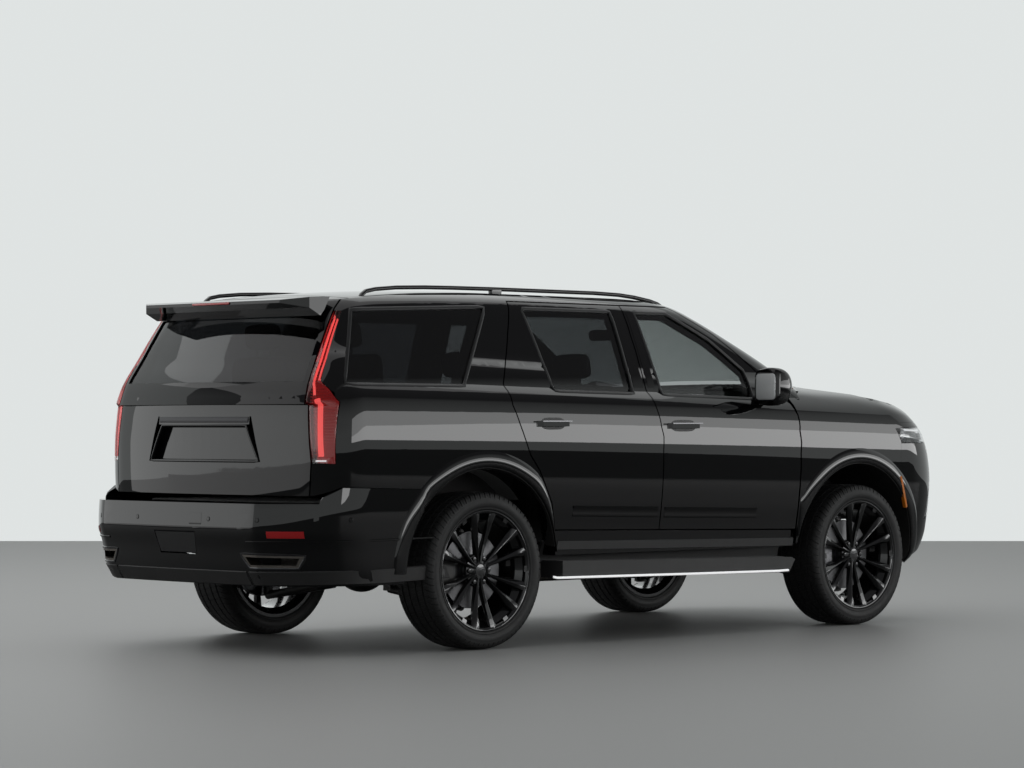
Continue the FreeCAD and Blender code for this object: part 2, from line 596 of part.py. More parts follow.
def make_engine():
    """Engine as one plain block with its gearbox."""
    block = box(1330, 2080, -270, 270, 500, 1120)
    gearbox = Part.makeCone(190, 120, 780, V(1330, 0, 560), V(-1, 0, 0)).cut(box(400, 1400, -300, 300, 556, 800))
    member_top = 430.0
    gearbox = gearbox.cut(box(400, 700, -300, 300, 300, member_top + 8))
    foot = box(605, 675, -60, 60, member_top + SEAT_GAP, member_top + 30)
    return one(block.multiFuse([gearbox, foot]))


def make_driveline():
    """Propeller shaft from the gearbox to the rear axle."""
    return rod((547, 0, 505), (REAR_AXLE_X + 150, 0, 430), 42)


def make_front_suspension(frame):
    """Double wishbones, struts and the steering rack, carried by the frame rails."""
    shapes = []
    for side in (1.0, -1.0):
        low = (FRONT_AXLE_X, side * STEER_Y, KNUCKLE_LOW)
        high = (FRONT_AXLE_X, side * STEER_Y, KNUCKLE_HIGH)
        for dx in (-130.0, 130.0):
            shapes.append(rod((FRONT_AXLE_X + dx, side * 440, 330), low, 22))
            shapes.append(rod((FRONT_AXLE_X + dx, side * 440, 560), high, 17))
        shapes.append(rod((FRONT_AXLE_X, side * 600, 290), (FRONT_AXLE_X, side * 560, 800), 48))
        shapes.append(box(FRONT_AXLE_X - 70, FRONT_AXLE_X + 70, min(side * 476, side * 620), max(side * 476, side * 620),
                          780, 830))
        shapes.append(box(FRONT_AXLE_X - 60, FRONT_AXLE_X + 60, min(side * 476, side * 500), max(side * 476, side * 500),
                          560, 830))
    shapes.append(box(FRONT_AXLE_X - 170, FRONT_AXLE_X + 170, -460, 460, 300, 350))
    shapes.append(box(FRONT_AXLE_X - 60, FRONT_AXLE_X + 60, 410, 470, 340, 480))
    shapes.append(box(FRONT_AXLE_X - 60, FRONT_AXLE_X + 60, -470, -410, 340, 480))
    shapes.append(rod((FRONT_AXLE_X - 150, -420, 380), (FRONT_AXLE_X - 150, 420, 380), 30))
    for side in (1.0, -1.0):
        for z in (KNUCKLE_LOW, KNUCKLE_HIGH):
            shapes.append(Part.makeCylinder(EYE_RADIUS, 44, V(FRONT_AXLE_X, side * STEER_Y, z - 22)))
    whole = shapes[0].multiFuse(shapes[1:]).cut(frame)
    bores = [Part.makeCylinder(POST_RADIUS + SEAT_GAP, 600, V(FRONT_AXLE_X, side * STEER_Y, TYRE_RADIUS - 300))
             for side in (1.0, -1.0)]
    return group(whole.cut(group(bores)).Solids)


def caliper(x, side):
    """Brake caliper over the disc, with its bracket to the hub carrier."""
    disc_in = DISC_Y - CALIPER_GAP
    disc_out = DISC_Y + DISC_THICKNESS + CALIPER_GAP
    block = tube_y(236, x, TYRE_RADIUS, disc_in - 28, disc_out + 18)
    block = block.cut(tube_y(146, x, TYRE_RADIUS, disc_in - 30, disc_out + 20))
    block = block.cut(tube_y(DISC_RADIUS + CALIPER_GAP, x, TYRE_RADIUS, disc_in, disc_out))
    wedge = side_prism([(x, TYRE_RADIUS), (x - 400, TYRE_RADIUS - 190), (x - 400, TYRE_RADIUS + 190)], 700, 1000)
    bracket = box(x - 170, x - 40, disc_in - 22, disc_in, TYRE_RADIUS - 30, TYRE_RADIUS + 30)
    whole = block.common(wedge).fuse(bracket)
    return whole if side > 0 else mirrored(whole)


def make_knuckle(side):
    """Steered hub carrier with its spindle; side is 1 for left and -1 for right."""
    low = (FRONT_AXLE_X, side * STEER_Y, KNUCKLE_LOW - 26)
    high = (FRONT_AXLE_X, side * STEER_Y, KNUCKLE_HIGH + 26)
    post = rod(low, high, POST_RADIUS)
    inner, outer = sorted((side * (STEER_Y - 28.0), side * (STEER_Y + 28.0)))
    carrier = tube_y(74, FRONT_AXLE_X, TYRE_RADIUS, inner, outer)
    inner, outer = sorted((side * STEER_Y, side * (RIM_LIP_Y - HUB_RECESS - 42)))
    spindle = tube_y(SPINDLE_RADIUS, FRONT_AXLE_X, TYRE_RADIUS, inner, outer)
    return one(post.multiFuse([carrier, spindle, caliper(FRONT_AXLE_X, side)]))


def make_rear_suspension(frame):
    """Rear axle: differential, half shafts, hub carriers, arms and springs."""
    shapes = [Part.makeSphere(150, V(REAR_AXLE_X, 0, TYRE_RADIUS))]
    shapes.append(box(REAR_AXLE_X - 80, REAR_AXLE_X + 80, -476, 476, 540, 600))
    shapes.append(rod((REAR_AXLE_X, 0, 500), (REAR_AXLE_X, 0, 560), 60))
    for side in (1.0, -1.0):
        hub_y = side * STEER_Y
        shapes.append(rod((REAR_AXLE_X, 0, TYRE_RADIUS), (REAR_AXLE_X, hub_y, TYRE_RADIUS), 28))
        shapes.append(rod((REAR_AXLE_X, hub_y, KNUCKLE_LOW), (REAR_AXLE_X, hub_y, KNUCKLE_HIGH), 27))
        inner, outer = sorted((side * (STEER_Y - 28.0), side * (STEER_Y + 28.0)))
        shapes.append(tube_y(74, REAR_AXLE_X, TYRE_RADIUS, inner, outer))
        inner, outer = sorted((side * STEER_Y, side * (RIM_LIP_Y - HUB_RECESS - 42)))
        shapes.append(tube_y(SPINDLE_RADIUS, REAR_AXLE_X, TYRE_RADIUS, inner, outer))
        for dx in (-60.0, 60.0):
            shapes.append(rod((REAR_AXLE_X + dx, side * 300, 300), (REAR_AXLE_X, hub_y, KNUCKLE_LOW), 22))
            shapes.append(rod((REAR_AXLE_X + dx, side * 420, 570), (REAR_AXLE_X, hub_y, KNUCKLE_HIGH), 17))
        shapes.append(rod((REAR_AXLE_X, side * 560, 268), (REAR_AXLE_X, side * 540, 640), 52))
        shapes.append(caliper(REAR_AXLE_X, side))
        inner, outer = sorted((side * 440, side * 600))
        shapes.append(box(REAR_AXLE_X - 70, REAR_AXLE_X + 70, inner, outer, 628, 690))
        inner, outer = sorted((side * 270, side * 330))
        shapes.append(box(REAR_AXLE_X - 80, REAR_AXLE_X + 80, inner, outer, 290, 600))
    return group(shapes[0].multiFuse(shapes[1:]).cut(frame).Solids)


def make_exhaust(frame):
    """Pipe and silencer under the floor, hung from the frame."""
    pipe = [(1250, -200, 400), (900, -250, 330), (-880, -250, 330), (-1080, -215, 495), (-1560, -215, 495),
            (-1820, -500, 490)]
    parts = [rod(a, b, 32) for a, b in zip(pipe, pipe[1:])]
    parts += [Part.makeSphere(32, V(*p)) for p in pipe[1:-1]]
    parts.append(box(-2280, -1790, -620, -400, 420, 552))
    parts += [box(x - 20, x + 20, -466, -410, 540, 640) for x in (-2180.0, -1890.0)]
    parts.append(box(-300, -260, -440, -240, 340, 430))
    return one(parts[0].multiFuse(parts[1:]).cut(frame))


def make_tyre(x, y):
    """Tyre with rounded shoulders around its rim."""
    half = TYRE_WIDTH / 2
    bead = RIM_RADIUS - 14.0
    r = TYRE_RADIUS
    profile = [(half - 22, bead), (half - 22, bead + 18), (half - 3, bead + 32), (half, bead + 54),
               (half - 6, r - 26), (half - 26, r - 6), (half - 50, r)]
    points = profile + [(-a, b) for a, b in reversed(profile)]
    outline = [V(x, y + a, TYRE_RADIUS + b) for a, b in points]
    face = Part.Face(Part.makePolygon(outline + [outline[0]]))
    return face.revolve(V(x, y, TYRE_RADIUS), V(0, 1, 0), 360)


def make_rim(x, side):
    """Rim with six pairs of split spokes, a recessed hub and the brake disc behind it."""
    y = side * WHEEL_Y
    lip = RIM_WIDTH / 2
    seat = RIM_RADIUS - 14.0 - TYRE_SEAT
    section = [(lip, RIM_RADIUS), (lip, seat - 6), (lip - 10, seat - BARREL_WALL), (40, seat - 44),
               (-lip + 30, seat - 44), (-lip + 10, seat - BARREL_WALL), (-lip, seat - 6), (-lip, RIM_RADIUS),
               (-lip + 12, RIM_RADIUS), (-lip + 12, seat), (-60, seat), (-40, seat - 30), (0, seat - 30),
               (30, seat), (lip - 12, seat), (lip - 12, RIM_RADIUS)]
    outline = [V(x, y + side * a, TYRE_RADIUS + b) for a, b in section]
    barrel = Part.Face(Part.makePolygon(outline + [outline[0]])).revolve(V(x, y, TYRE_RADIUS), V(0, 1, 0), 360)
    face_y = lip - HUB_RECESS
    hub_low, hub_high = sorted((y + side * (face_y - 44), y + side * face_y))
    hub = tube_y(HUB_RADIUS, x, TYRE_RADIUS, hub_low, hub_high)
    spokes = []
    for i in range(SPOKE_PAIRS):
        for lean in (-1.0, 1.0):
            root = 11.0 * lean
            tip = 26.0 * lean
            points = [(HUB_RADIUS - 20, root - 16, face_y - 4), (HUB_RADIUS - 20, root + 16, face_y - 4)]
            outer = [(seat - 8, tip - 14, lip - 8), (seat - 8, tip + 14, lip - 8)]
            near = [V(x + s, y + side * h, TYRE_RADIUS + r) for r, s, h in points]
            near += [V(x + s, y + side * (h - 30), TYRE_RADIUS + r) for r, s, h in reversed(points)]
            far = [V(x + s, y + side * h, TYRE_RADIUS + r) for r, s, h in outer]
            far += [V(x + s, y + side * (h - 26), TYRE_RADIUS + r) for r, s, h in reversed(outer)]
            spoke = Part.makeLoft([Part.makePolygon(near + [near[0]]), Part.makePolygon(far + [far[0]])], True, True)
            spoke.rotate(V(x, y, TYRE_RADIUS), V(0, 1, 0), i * 360.0 / SPOKE_PAIRS)
            spokes.append(spoke)
    disc_y = sorted((side * DISC_Y, side * (DISC_Y + DISC_THICKNESS)))
    disc = tube_y(DISC_RADIUS, x, TYRE_RADIUS, disc_y[0], disc_y[1])
    hat_y = sorted((side * (DISC_Y + DISC_THICKNESS / 2), y + side * (face_y - 40)))
    hat = tube_y(HUB_RADIUS - 12, x, TYRE_RADIUS, hat_y[0], hat_y[1])
    bore_y = sorted((side * (DISC_Y - 10), side * (RIM_LIP_Y - HUB_RECESS - 40)))
    bore = tube_y(SPINDLE_RADIUS + SPINDLE_FIT, x, TYRE_RADIUS, bore_y[0], bore_y[1])
    whole = barrel.multiFuse([hub, disc, hat] + spokes)
    return one(whole.cut(bore))


def make_seat(x, y, width, back_lean=0.16):
    """One seat: base, cushion, leaning back and head restraint."""
    half = width / 2
    base = box(x - 220, x + 200, y - half + 60, y + half - 60, FLOOR_TOP + SEAT_GAP, 700)
    cushion = side_prism([(x - 250, 690), (x + 260, 690), (x + 290, 750), (x + 260, 806), (x - 180, 786)],
                         y - half, y + half)
    lean = back_lean * 620
    back = side_prism([(x - 235, 690), (x - 190, 800), (x - 190 - lean, 1400), (x - 220 - lean, 1432),
                       (x - 290 - lean, 1420), (x - 330, 780)], y - half + 10, y + half - 10)
    rest = side_prism([(x - 215 - lean, 1446), (x - 205 - lean, 1560), (x - 240 - lean, 1610),
                       (x - 300 - lean, 1590), (x - 290 - lean, 1446)], y - 140, y + 140)
    posts = box(x - 262 - lean, x - 246 - lean, y - 80, y + 80, 1380, 1500)
    return one(base.multiFuse([cushion, back, rest, posts]))


def make_seats():
    """Front pair, second-row pair and third-row bench."""
    front = [make_seat(230, y, 540) for y in (-400.0, 400.0)]
    rear = [make_seat(-640, y, 540) for y in (-400.0, 400.0)]
    third = []
    for y in (-330.0, 330.0):
        seat = make_seat(-1440, y, 560)
        seat.translate(V(0, 0, 150))
        third.append(seat.cut(box(-2500, -900, -1000, 1000, 400, LOAD_FLOOR_TOP + SEAT_GAP)))
    return front, rear + third


def make_dashboard():
    """Dashboard across the cabin, with a centre stack and the steering column."""
    section = [(1184.7, 900), (1184.7, 1290), (1000, 1330), (760, 1296), (700, 1220), (760, 1080), (900, 960)]
    dash = side_prism(section, -1000, 1000).common(WALL_INNER)
    stack_block = side_prism([(900, 591), (900, 1100), (700, 1150), (560, 960), (-120, 900), (-120, 591)], -110, 110)
    axis = V(*COLUMN_AXIS)
    axis.normalize()
    end = V(*STEERING_HUB) - axis * (BOSS_HALF + SEAT_GAP)
    column = rod(tuple(end - axis * 330.0), tuple(end), 34)
    return one(dash.multiFuse([stack_block, column]))


def make_steering_wheel():
    """Steering wheel rim, three spokes and hub, square to the column."""
    hub = V(*STEERING_HUB)
    axis = V(*COLUMN_AXIS)
    axis.normalize()
    ring = Part.makeTorus(185, 15, V(0, 0, 0), V(0, 0, 1))
    boss = Part.makeCylinder(52, 2 * BOSS_HALF, V(0, 0, -BOSS_HALF))
    spokes = [box(-178, 178, -16, 16, -7, 7), box(-16, 16, -178, 0, -7, 7)]
    wheel = one(ring.multiFuse([boss] + spokes))
    turn = FreeCAD.Rotation(V(0, 0, 1), axis)
    quarter = FreeCAD.Rotation(V(0, 0, 1), 90.0)
    wheel.Placement = FreeCAD.Placement(hub, turn.multiply(quarter))
    return wheel


def make_mirror(door):
    """Right door mirror: a housing with drawn-in ends on a short arm."""
    sections = [(-1010, (764, 890, 1338, 1478)), (-1060, (735, 925, 1310, 1512)), (-1160, (722, 905, 1298, 1524)),
                (-1215, (730, 830, 1322, 1500))]
    wires = []
    for y, (x0, x1, z0, z1) in sections:
        cut_x, cut_z = 0.42 * (x1 - x0), 0.26 * (z1 - z0)
        ring = [(x0, z0 + 12), (x0, z1 - 12), (x0 + 14, z1), (x1 - cut_x, z1), (x1, z1 - cut_z), (x1, z0 + cut_z),
                (x1 - cut_x, z0), (x0 + 14, z0)]
        wires.append(Part.makePolygon([V(x, y, z) for x, z in ring] + [V(ring[0][0], y, ring[0][1])]))
    shell = Part.makeLoft(wires, True, True)
    glass = box(700, 734, -1196, -1050, 1336, 1492).cut(box(727, 734, -1196, -1050, 1336, 1492))
    arm = box(800, 890, -1030, -900, 1322, 1356).cut(side_prism(FRONT_WINDOW, -1200, -500))
    return one(shell.cut(glass).fuse(arm).cut(door))


def make_handles():
    """Pull handles of the right side, front then rear."""
    handles = []
    for x0, x1, z in ((11.0, 283.0, 1188.0), (-1000.0, -757.0, 1200.0)):
        bar = plan_prism([(x0, -1005), (x0 + 24, -1044), (x1 - 24, -1044), (x1, -1005), (x1 - 26, -1005),
                          (x1 - 40, -1030), (x0 + 40, -1030), (x0 + 26, -1005)], z - 15, z + 15)
        handles.append(bar)
    return handles


def make_running_boards(frame):
    """Running boards under the sills, seated on the frame outriggers."""
    board = side_prism([(-918.0, 452.0), (-860.0, 456.0), (1060.0, 424.0), (1090.0, 410.0), (1040.0, 336.0),
                        (-900.0, 362.0)], -1030, -862)
    board = board.cut(arches(ARCH_RADIUS, 600))
    board = one(board.cut(frame))
    return [board, mirrored(board)]


def make_spare_wheel():
    """Spare wheel slung flat under the load floor."""
    x = -2070.0
    tyre = Part.makeCylinder(372, 186, V(x, 0, 366))
    tyre = tyre.makeFillet(40, [e for e in tyre.Edges if abs(e.Length - 2 * math.pi * 372) < 1])
    well = Part.makeCylinder(215, 90, V(x, 0, 366))
    hanger = rod((x, 0, 500), (x, 0, 762), 14)
    return one(tyre.cut(well).fuse(hanger))


def make_fuel_tank():
    """Fuel tank between the left rail and the exhaust."""
    tank = box(-820, 120, 60, RAIL_INNER_Y - SEAT_GAP, 372, 560)
    return tank.makeFillet(30, tank.Edges[:4])


def make_fuel_door(walls):
    """Fuel filler lid on the left quarter, its hinge, and the recess behind it."""
    x0, x1, z0, z1 = FUEL_DOOR
    outline = [(x0, z0), (x1, z0), (x1, z1), (x0, z1)]
    lid = THIN_LAYER.common(side_prism(outline, 600, 1200))
    recess = LOWER_OUTER.cut(lower_body(FUEL_RECESS)).common(side_prism(outline, 600, 1200, grow=SHUT_GAP))
    x = x1 - LID_HINGE_SETBACK
    z = (z0 + z1) / 2
    skin = skin_y(x, z)
    y = skin - LID_HINGE_INSET
    pin_radius = PIN_RADIUS - 1.5
    eye_radius = pin_radius + PIN_FIT + 3.0
    low = z - ARM_HALF
    arm = Part.makeCylinder(eye_radius, 2 * ARM_HALF, V(x, y, low))
    arm = arm.fuse(box(x - 5, x + 5, skin - FUEL_RECESS - 10, y, low, z + ARM_HALF))
    arm = arm.cut(Part.makeCylinder(pin_radius + PIN_FIT, 2 * ARM_HALF, V(x, y, low)))
    half = ARM_HALF + SLOT_GAP
    slot = box(x - eye_radius - SLOT_GAP, x1 + 20, skin - 60, skin - 3.0, z - half, z + half)
    pin = Part.makeCylinder(pin_radius, 2 * half + 20, V(x, y, z - half - 10))
    return one(lid.cut(slot).fuse(pin)), walls.cut(recess).fuse(arm)


def make_cowl():
    """Shelf between the toe board and the windscreen, below the rear edge of the hood."""
    depth = THIN_PANEL + SHUT_GAP
    shelf = box(1185, 1560, -COWL_HALF, COWL_HALF, 1376, 1396)
    lip = cabin_body(0.0).cut(cabin_body(22.0)).common(box(1000, 1700, -COWL_HALF, COWL_HALF, 1376, 1500))
    lip = lip.common(rear_prism([(y, z - 30) for y, z in both_sides(WINDSCREEN_EDGE)], 300, 1800))
    shelf = shelf.common(cabin_body(0.0))
    return one(shelf.fuse(lip).common(lower_body(depth)).cut(hood_plan(0.0).cut(lower_body(depth))))


def make_windscreen():
    """Windscreen glass down to just above the hood."""
    glass = PANE_LAYER.common(rear_prism(both_sides(WINDSCREEN_EDGE), 300, 1800, grow=-SEAT_GAP))
    return one(glass.cut(lower_body(-SHUT_GAP)))


def skin_y(x, z):
    """How far out the lower body's skin lies at one place of the side view."""
    return LOWER_OUTER.common(Part.makeLine(V(x, 0, z), V(x, 1400, z))).Length


def skin_z(body, x, y):
    """Height of a body's upper skin at one place of the plan."""
    return body.common(Part.makeLine(V(x, y, 900), V(x, y, 2400))).BoundBox.ZMax


def door_hinges(door, x, outline_front):
    """Slots and pins for a right door, and the two arms that its pillar carries."""
    arms = []
    eye_radius = PIN_RADIUS + PIN_FIT + EYE_WALL
    y = HINGE_INSET - skin_y(x, sum(DOOR_HINGE_Z) / 2)
    inner = y - HINGE_INSET + DOOR_POCKET + PILLAR / 2
    for z in DOOR_HINGE_Z:
        low = z - ARM_HALF
        eye = Part.makeCylinder(eye_radius, 2 * ARM_HALF, V(x, y, low))
        arm = eye.fuse(box(x - eye_radius, x + eye_radius, y, inner, low, z + ARM_HALF))
        arms.append(arm.cut(Part.makeCylinder(PIN_RADIUS + PIN_FIT, 2 * ARM_HALF, V(x, y, low))))
        reach = eye_radius + SLOT_GAP
        slot = box(x - reach, outline_front + 40, y - 60, inner, low - SLOT_GAP, z + ARM_HALF + SLOT_GAP)
        pin_half = ARM_HALF + SLOT_GAP + 15
        pin = Part.makeCylinder(PIN_RADIUS, 2 * pin_half, V(x, y, z - pin_half))
        door = door.cut(slot.common(HINGE_LAYER)).fuse(pin)
    return one(door), arms


def hood_hinges(hood):
    """Slots and pins near the hood's rear corners, and the arms that the toe board carries."""
    arms = []
    eye_radius = PIN_RADIUS + PIN_FIT + EYE_WALL
    x = HOOD_HINGE_X
    z = skin_z(LOWER_OUTER, x, HOOD_HINGE_Y) - HINGE_INSET
    board_x = TOE_BOARD_X - 5.0
    for side in (1.0, -1.0):
        y = side * HOOD_HINGE_Y
        eye = tube_y(eye_radius, x, z, y - ARM_HALF, y + ARM_HALF)
        leg = [(x - 3, z), (x - 3, HOOD_ARM_Z + 9), (board_x, HOOD_ARM_Z + 9),
               (board_x, HOOD_ARM_Z - 9), (x + eye_radius, HOOD_ARM_Z - 9), (x + eye_radius, z)]
        arm = eye.fuse(side_prism(leg, y - ARM_HALF, y + ARM_HALF))
        arms.append(arm.cut(tube_y(PIN_RADIUS + PIN_FIT, x, z, y - ARM_HALF, y + ARM_HALF)))
        reach = eye_radius + SLOT_GAP
        half = ARM_HALF + SLOT_GAP
        slot = box(x - reach - 12, x + reach, y - half, y + half, z - 60, z + 60).common(HINGE_LAYER)
        pin = tube_y(PIN_RADIUS, x, z, y - half - 10, y + half + 10)
        hood = hood.cut(slot).fuse(pin)
    return one(hood), arms


def gate_hinges(gate):
    """Slots and pins at the liftgate's front edge, and the goose-neck arms below the roof header."""
    arms = []
    eye_radius = PIN_RADIUS + PIN_FIT + EYE_WALL
    x = GATE_AXIS_X
    z = skin_z(OUTER, x, GATE_HINGE_Y) - GATE_HINGE_DEPTH
    header_x = GATE_SEAM_X + GATE_SEAM_GAP
    skin = cabin_body(HINGE_SKIN - 1.0)
    for side in (1.0, -1.0):
        y = side * GATE_HINGE_Y
        low = z - GATE_ARM_REACH
        neck = [(x - 6, z), (x - 6, low - 6), (header_x + 16, low - 6), (header_x + 16, z), (header_x + 2, z),
                (header_x + 2, low + 6), (x + 6, low + 6), (x + 6, z)]
        arm = side_prism(neck, y - ARM_HALF, y + ARM_HALF).fuse(tube_y(eye_radius, x, z, y - ARM_HALF, y + ARM_HALF))
        arms.append(arm.cut(tube_y(PIN_RADIUS + PIN_FIT, x, z, y - ARM_HALF, y + ARM_HALF)))
        half = ARM_HALF + SLOT_GAP
        slot = box(x - eye_radius - SLOT_GAP, GATE_SEAM_X + 5, y - half, y + half, z - 150, z + 60).common(skin)
        pin = tube_y(PIN_RADIUS, x, z, y - half - 15, y + half + 15)
        gate = gate.cut(slot).fuse(pin)
    return one(gate), arms


def main():
    """Build every sub-part in order and write it."""
    frame = make_frame()
    save("frame", frame)
    save("powertrain", group([make_engine(), make_driveline()]))
    front_suspension = make_front_suspension(frame)
    save("front_suspension", front_suspension)
    save("rear_suspension", make_rear_suspension(frame))
    save("spare_wheel", make_spare_wheel())
    save("fuel_tank", make_fuel_tank())
    hood, fenders, nose, headlamps = make_front_panels()
    hood, hood_arms = hood_hinges(hood)
    floor, houses = make_floor()
    save("floor", one(floor.multiFuse([houses] + hood_arms)))
    save("wheel_liners", group(make_front_liners([frame, front_suspension, nose] + hood_arms)))
    save("cowl", make_cowl())
    front_door, rear_door = make_side_doors()
    front_door, front_arms = door_hinges(front_door, FRONT_HINGE_X, FRONT_HINGE_X + HINGE_SETBACK)
    rear_door, rear_arms = door_hinges(rear_door, REAR_HINGE_X, REAR_HINGE_X + HINGE_SETBACK)
    arms = front_arms + rear_arms
    arms += [mirrored(arm) for arm in arms]
    lid, walls = make_fuel_door(make_side_walls())
    walls = walls.multiFuse(arms)
    lamps = make_tail_lamps()
    save("fuel_door", lid)
    save("tail_lamps", group(lamps))
    save("body_sides", group([w.removeSplitter() for w in walls.cut(group(lamps)).Solids if w.Volume > 1e7]))
    gate, spoiler = make_liftgate()
    gate, gate_arms = gate_hinges(one(gate.fuse(spoiler)))
    save("roof", one(make_roof().multiFuse(gate_arms)))
    save("roof_rails", group(make_roof_rails()))
    save("hood", hood)
    save("fenders", group(fenders))
    save("front_bumper", nose)
    save("headlamps", group(headlamps))
    save("grille", make_grille())
    bumper, finishers = make_rear_bumper()
    save("rear_bumper", bumper)
    save("exhaust", group([make_exhaust(frame)] + finishers))
    save("running_boards", group(make_running_boards(frame)))
    save("windscreen", make_windscreen())
    quarter = pane(side_prism(QUARTER_WINDOW, -1200, -500, grow=-SEAT_GAP))
    save("quarter_glass", group([quarter, mirrored(quarter)]))
    save("liftgate", gate)
    save("rear_glass", pane(rear_prism(both_sides(GATE_WINDOW), -2800, -2100, grow=-SEAT_GAP)))
    mirror = make_mirror(front_door)
    handles = make_handles()
    right = {
        "door_front": one(front_door.fuse(handles[0])),
        "door_rear": one(rear_door.fuse(handles[1])),
        "glass_front": pane(side_prism(FRONT_WINDOW, -1200, -500, grow=-SEAT_GAP)),
        "glass_rear": pane(side_prism(REAR_WINDOW, -1200, -500, grow=-SEAT_GAP)),
        "mirror": mirror,
    }
    for name, shape in right.items():
        save(name + "_right", shape)
        save(name + "_left", mirrored(shape))
    for name, side in (("left", 1.0), ("right", -1.0)):
        save("knuckle_" + name, make_knuckle(side))
    tyre = make_tyre(0.0, WHEEL_Y)
    rim = make_rim(0.0, 1.0)
    for end, x in (("front", FRONT_AXLE_X), ("rear", REAR_AXLE_X)):
        for kind, shape in (("tyre", tyre), ("rim", rim)):
            left = shape.copy()
            left.translate(V(x, 0, 0))
            save(kind + "_" + end + "_left", left)
            save(kind + "_" + end + "_right", mirrored(left))
    front_seats, rear_seats = make_seats()
    save("front_seats", group(front_seats))
    save("rear_seats", group(rear_seats))
    save("dashboard", make_dashboard())
    save("steering_wheel", make_steering_wheel())


main()
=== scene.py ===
"""Looks of a full-size sport utility vehicle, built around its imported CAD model.

Sizes are in millimetres unless a name says otherwise. Meshes are made in metres, in the frame of the CAD:
+X is forward, +Y is the left side and +Z is up.
"""

import json
import logging
import math
from collections.abc import Callable, Iterable, Sequence
from dataclasses import dataclass, field
from enum import Enum

import bmesh
import bpy
import numpy as np
from mathutils import Matrix, Vector

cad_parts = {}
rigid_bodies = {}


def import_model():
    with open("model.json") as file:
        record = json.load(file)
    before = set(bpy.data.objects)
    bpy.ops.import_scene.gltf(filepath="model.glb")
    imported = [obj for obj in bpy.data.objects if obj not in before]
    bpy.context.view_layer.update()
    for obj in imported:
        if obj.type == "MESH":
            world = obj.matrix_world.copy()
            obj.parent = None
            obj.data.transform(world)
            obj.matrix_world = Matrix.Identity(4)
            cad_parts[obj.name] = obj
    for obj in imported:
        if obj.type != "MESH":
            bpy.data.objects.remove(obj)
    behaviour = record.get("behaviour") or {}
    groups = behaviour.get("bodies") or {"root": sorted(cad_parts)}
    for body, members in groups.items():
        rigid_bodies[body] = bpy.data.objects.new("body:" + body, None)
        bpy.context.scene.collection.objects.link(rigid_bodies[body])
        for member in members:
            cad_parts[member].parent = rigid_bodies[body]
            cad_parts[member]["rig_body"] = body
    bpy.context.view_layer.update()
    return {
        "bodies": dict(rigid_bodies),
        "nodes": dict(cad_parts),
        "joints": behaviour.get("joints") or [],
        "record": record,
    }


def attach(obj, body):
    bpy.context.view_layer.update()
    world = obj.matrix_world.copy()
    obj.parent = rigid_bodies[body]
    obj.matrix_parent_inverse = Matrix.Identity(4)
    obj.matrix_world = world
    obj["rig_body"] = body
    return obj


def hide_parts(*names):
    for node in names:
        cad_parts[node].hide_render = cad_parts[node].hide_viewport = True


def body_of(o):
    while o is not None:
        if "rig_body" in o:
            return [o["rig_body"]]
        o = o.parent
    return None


LOG = logging.getLogger("vehicle")
MM = 0.001

Point2 = tuple[float, float]
Point3 = tuple[float, float, float]
Colour = tuple[float, float, float]
Faces = list[tuple[int, ...]]
Solid = tuple[list[Sequence[float]], Faces]
Skinned = tuple[np.ndarray, np.ndarray]


# Shader groups and finishes


class Shared(Enum):
    """Shader effects that several finishes use."""

    GRAIN = "fine_grain"
    FILM = "road_film"


@dataclass
class Nodes:
    """Short ways to add nodes to one tree and to link them."""

    tree: bpy.types.NodeTree

    def add(self, kind: str, inputs: dict | None = None, **settings: str) -> bpy.types.Node:
        """Add a node.

        Args:
            kind: its type after the word ShaderNode.
            inputs: values of its inputs, by name or number.
            settings: its other settings.

        Returns:
            The node.
        """
        node = self.tree.nodes.new("ShaderNode" + kind)
        for name, value in settings.items():
            setattr(node, name, value)
        return self.fill(node, inputs or {})

    def fill(self, node: bpy.types.Node, inputs: dict) -> bpy.types.Node:
        """Set values on a node's own inputs and give the node back."""
        for key, value in inputs.items():
            node.inputs[key].default_value = value
        return node

    def link(self, *pairs: tuple[bpy.types.Node, str | int, bpy.types.Node, str | int]) -> None:
        """Link outputs to inputs.

        Args:
            pairs: node, its output, the other node and its input.
        """
        for start, output, end, entry in pairs:
            self.tree.links.new(start.outputs[output], end.inputs[entry])

    def place(self, group: bpy.types.NodeTree, **values: float) -> bpy.types.Node:
        """Put a shader group into the tree with its own values.

        Args:
            group: the shader group.
            values: input values by name.

        Returns:
            The group node.
        """
        return self.fill(self.add("Group", node_tree=group), {k.capitalize(): v for k, v in values.items()})


def new_group(kind: Shared, inputs: dict[str, float], outputs: Sequence[str]
              ) -> tuple[Nodes, bpy.types.Node, bpy.types.Node]:
    """Empty shader group with its named sockets.

    Args:
        kind: which effect.
        inputs: the inputs and their starting values.
        outputs: the outputs.

    Returns:
        The nodes, the entry node and the exit node.
    """
    tree = bpy.data.node_groups.new(kind.value, "ShaderNodeTree")
    for name, value in inputs.items():
        socket = tree.interface.new_socket(name=name, in_out="INPUT", socket_type="NodeSocketFloat")
        socket.default_value = value
    for name in outputs:
        tree.interface.new_socket(name=name, in_out="OUTPUT", socket_type="NodeSocketFloat")
    return Nodes(tree), tree.nodes.new("NodeGroupInput"), tree.nodes.new("NodeGroupOutput")


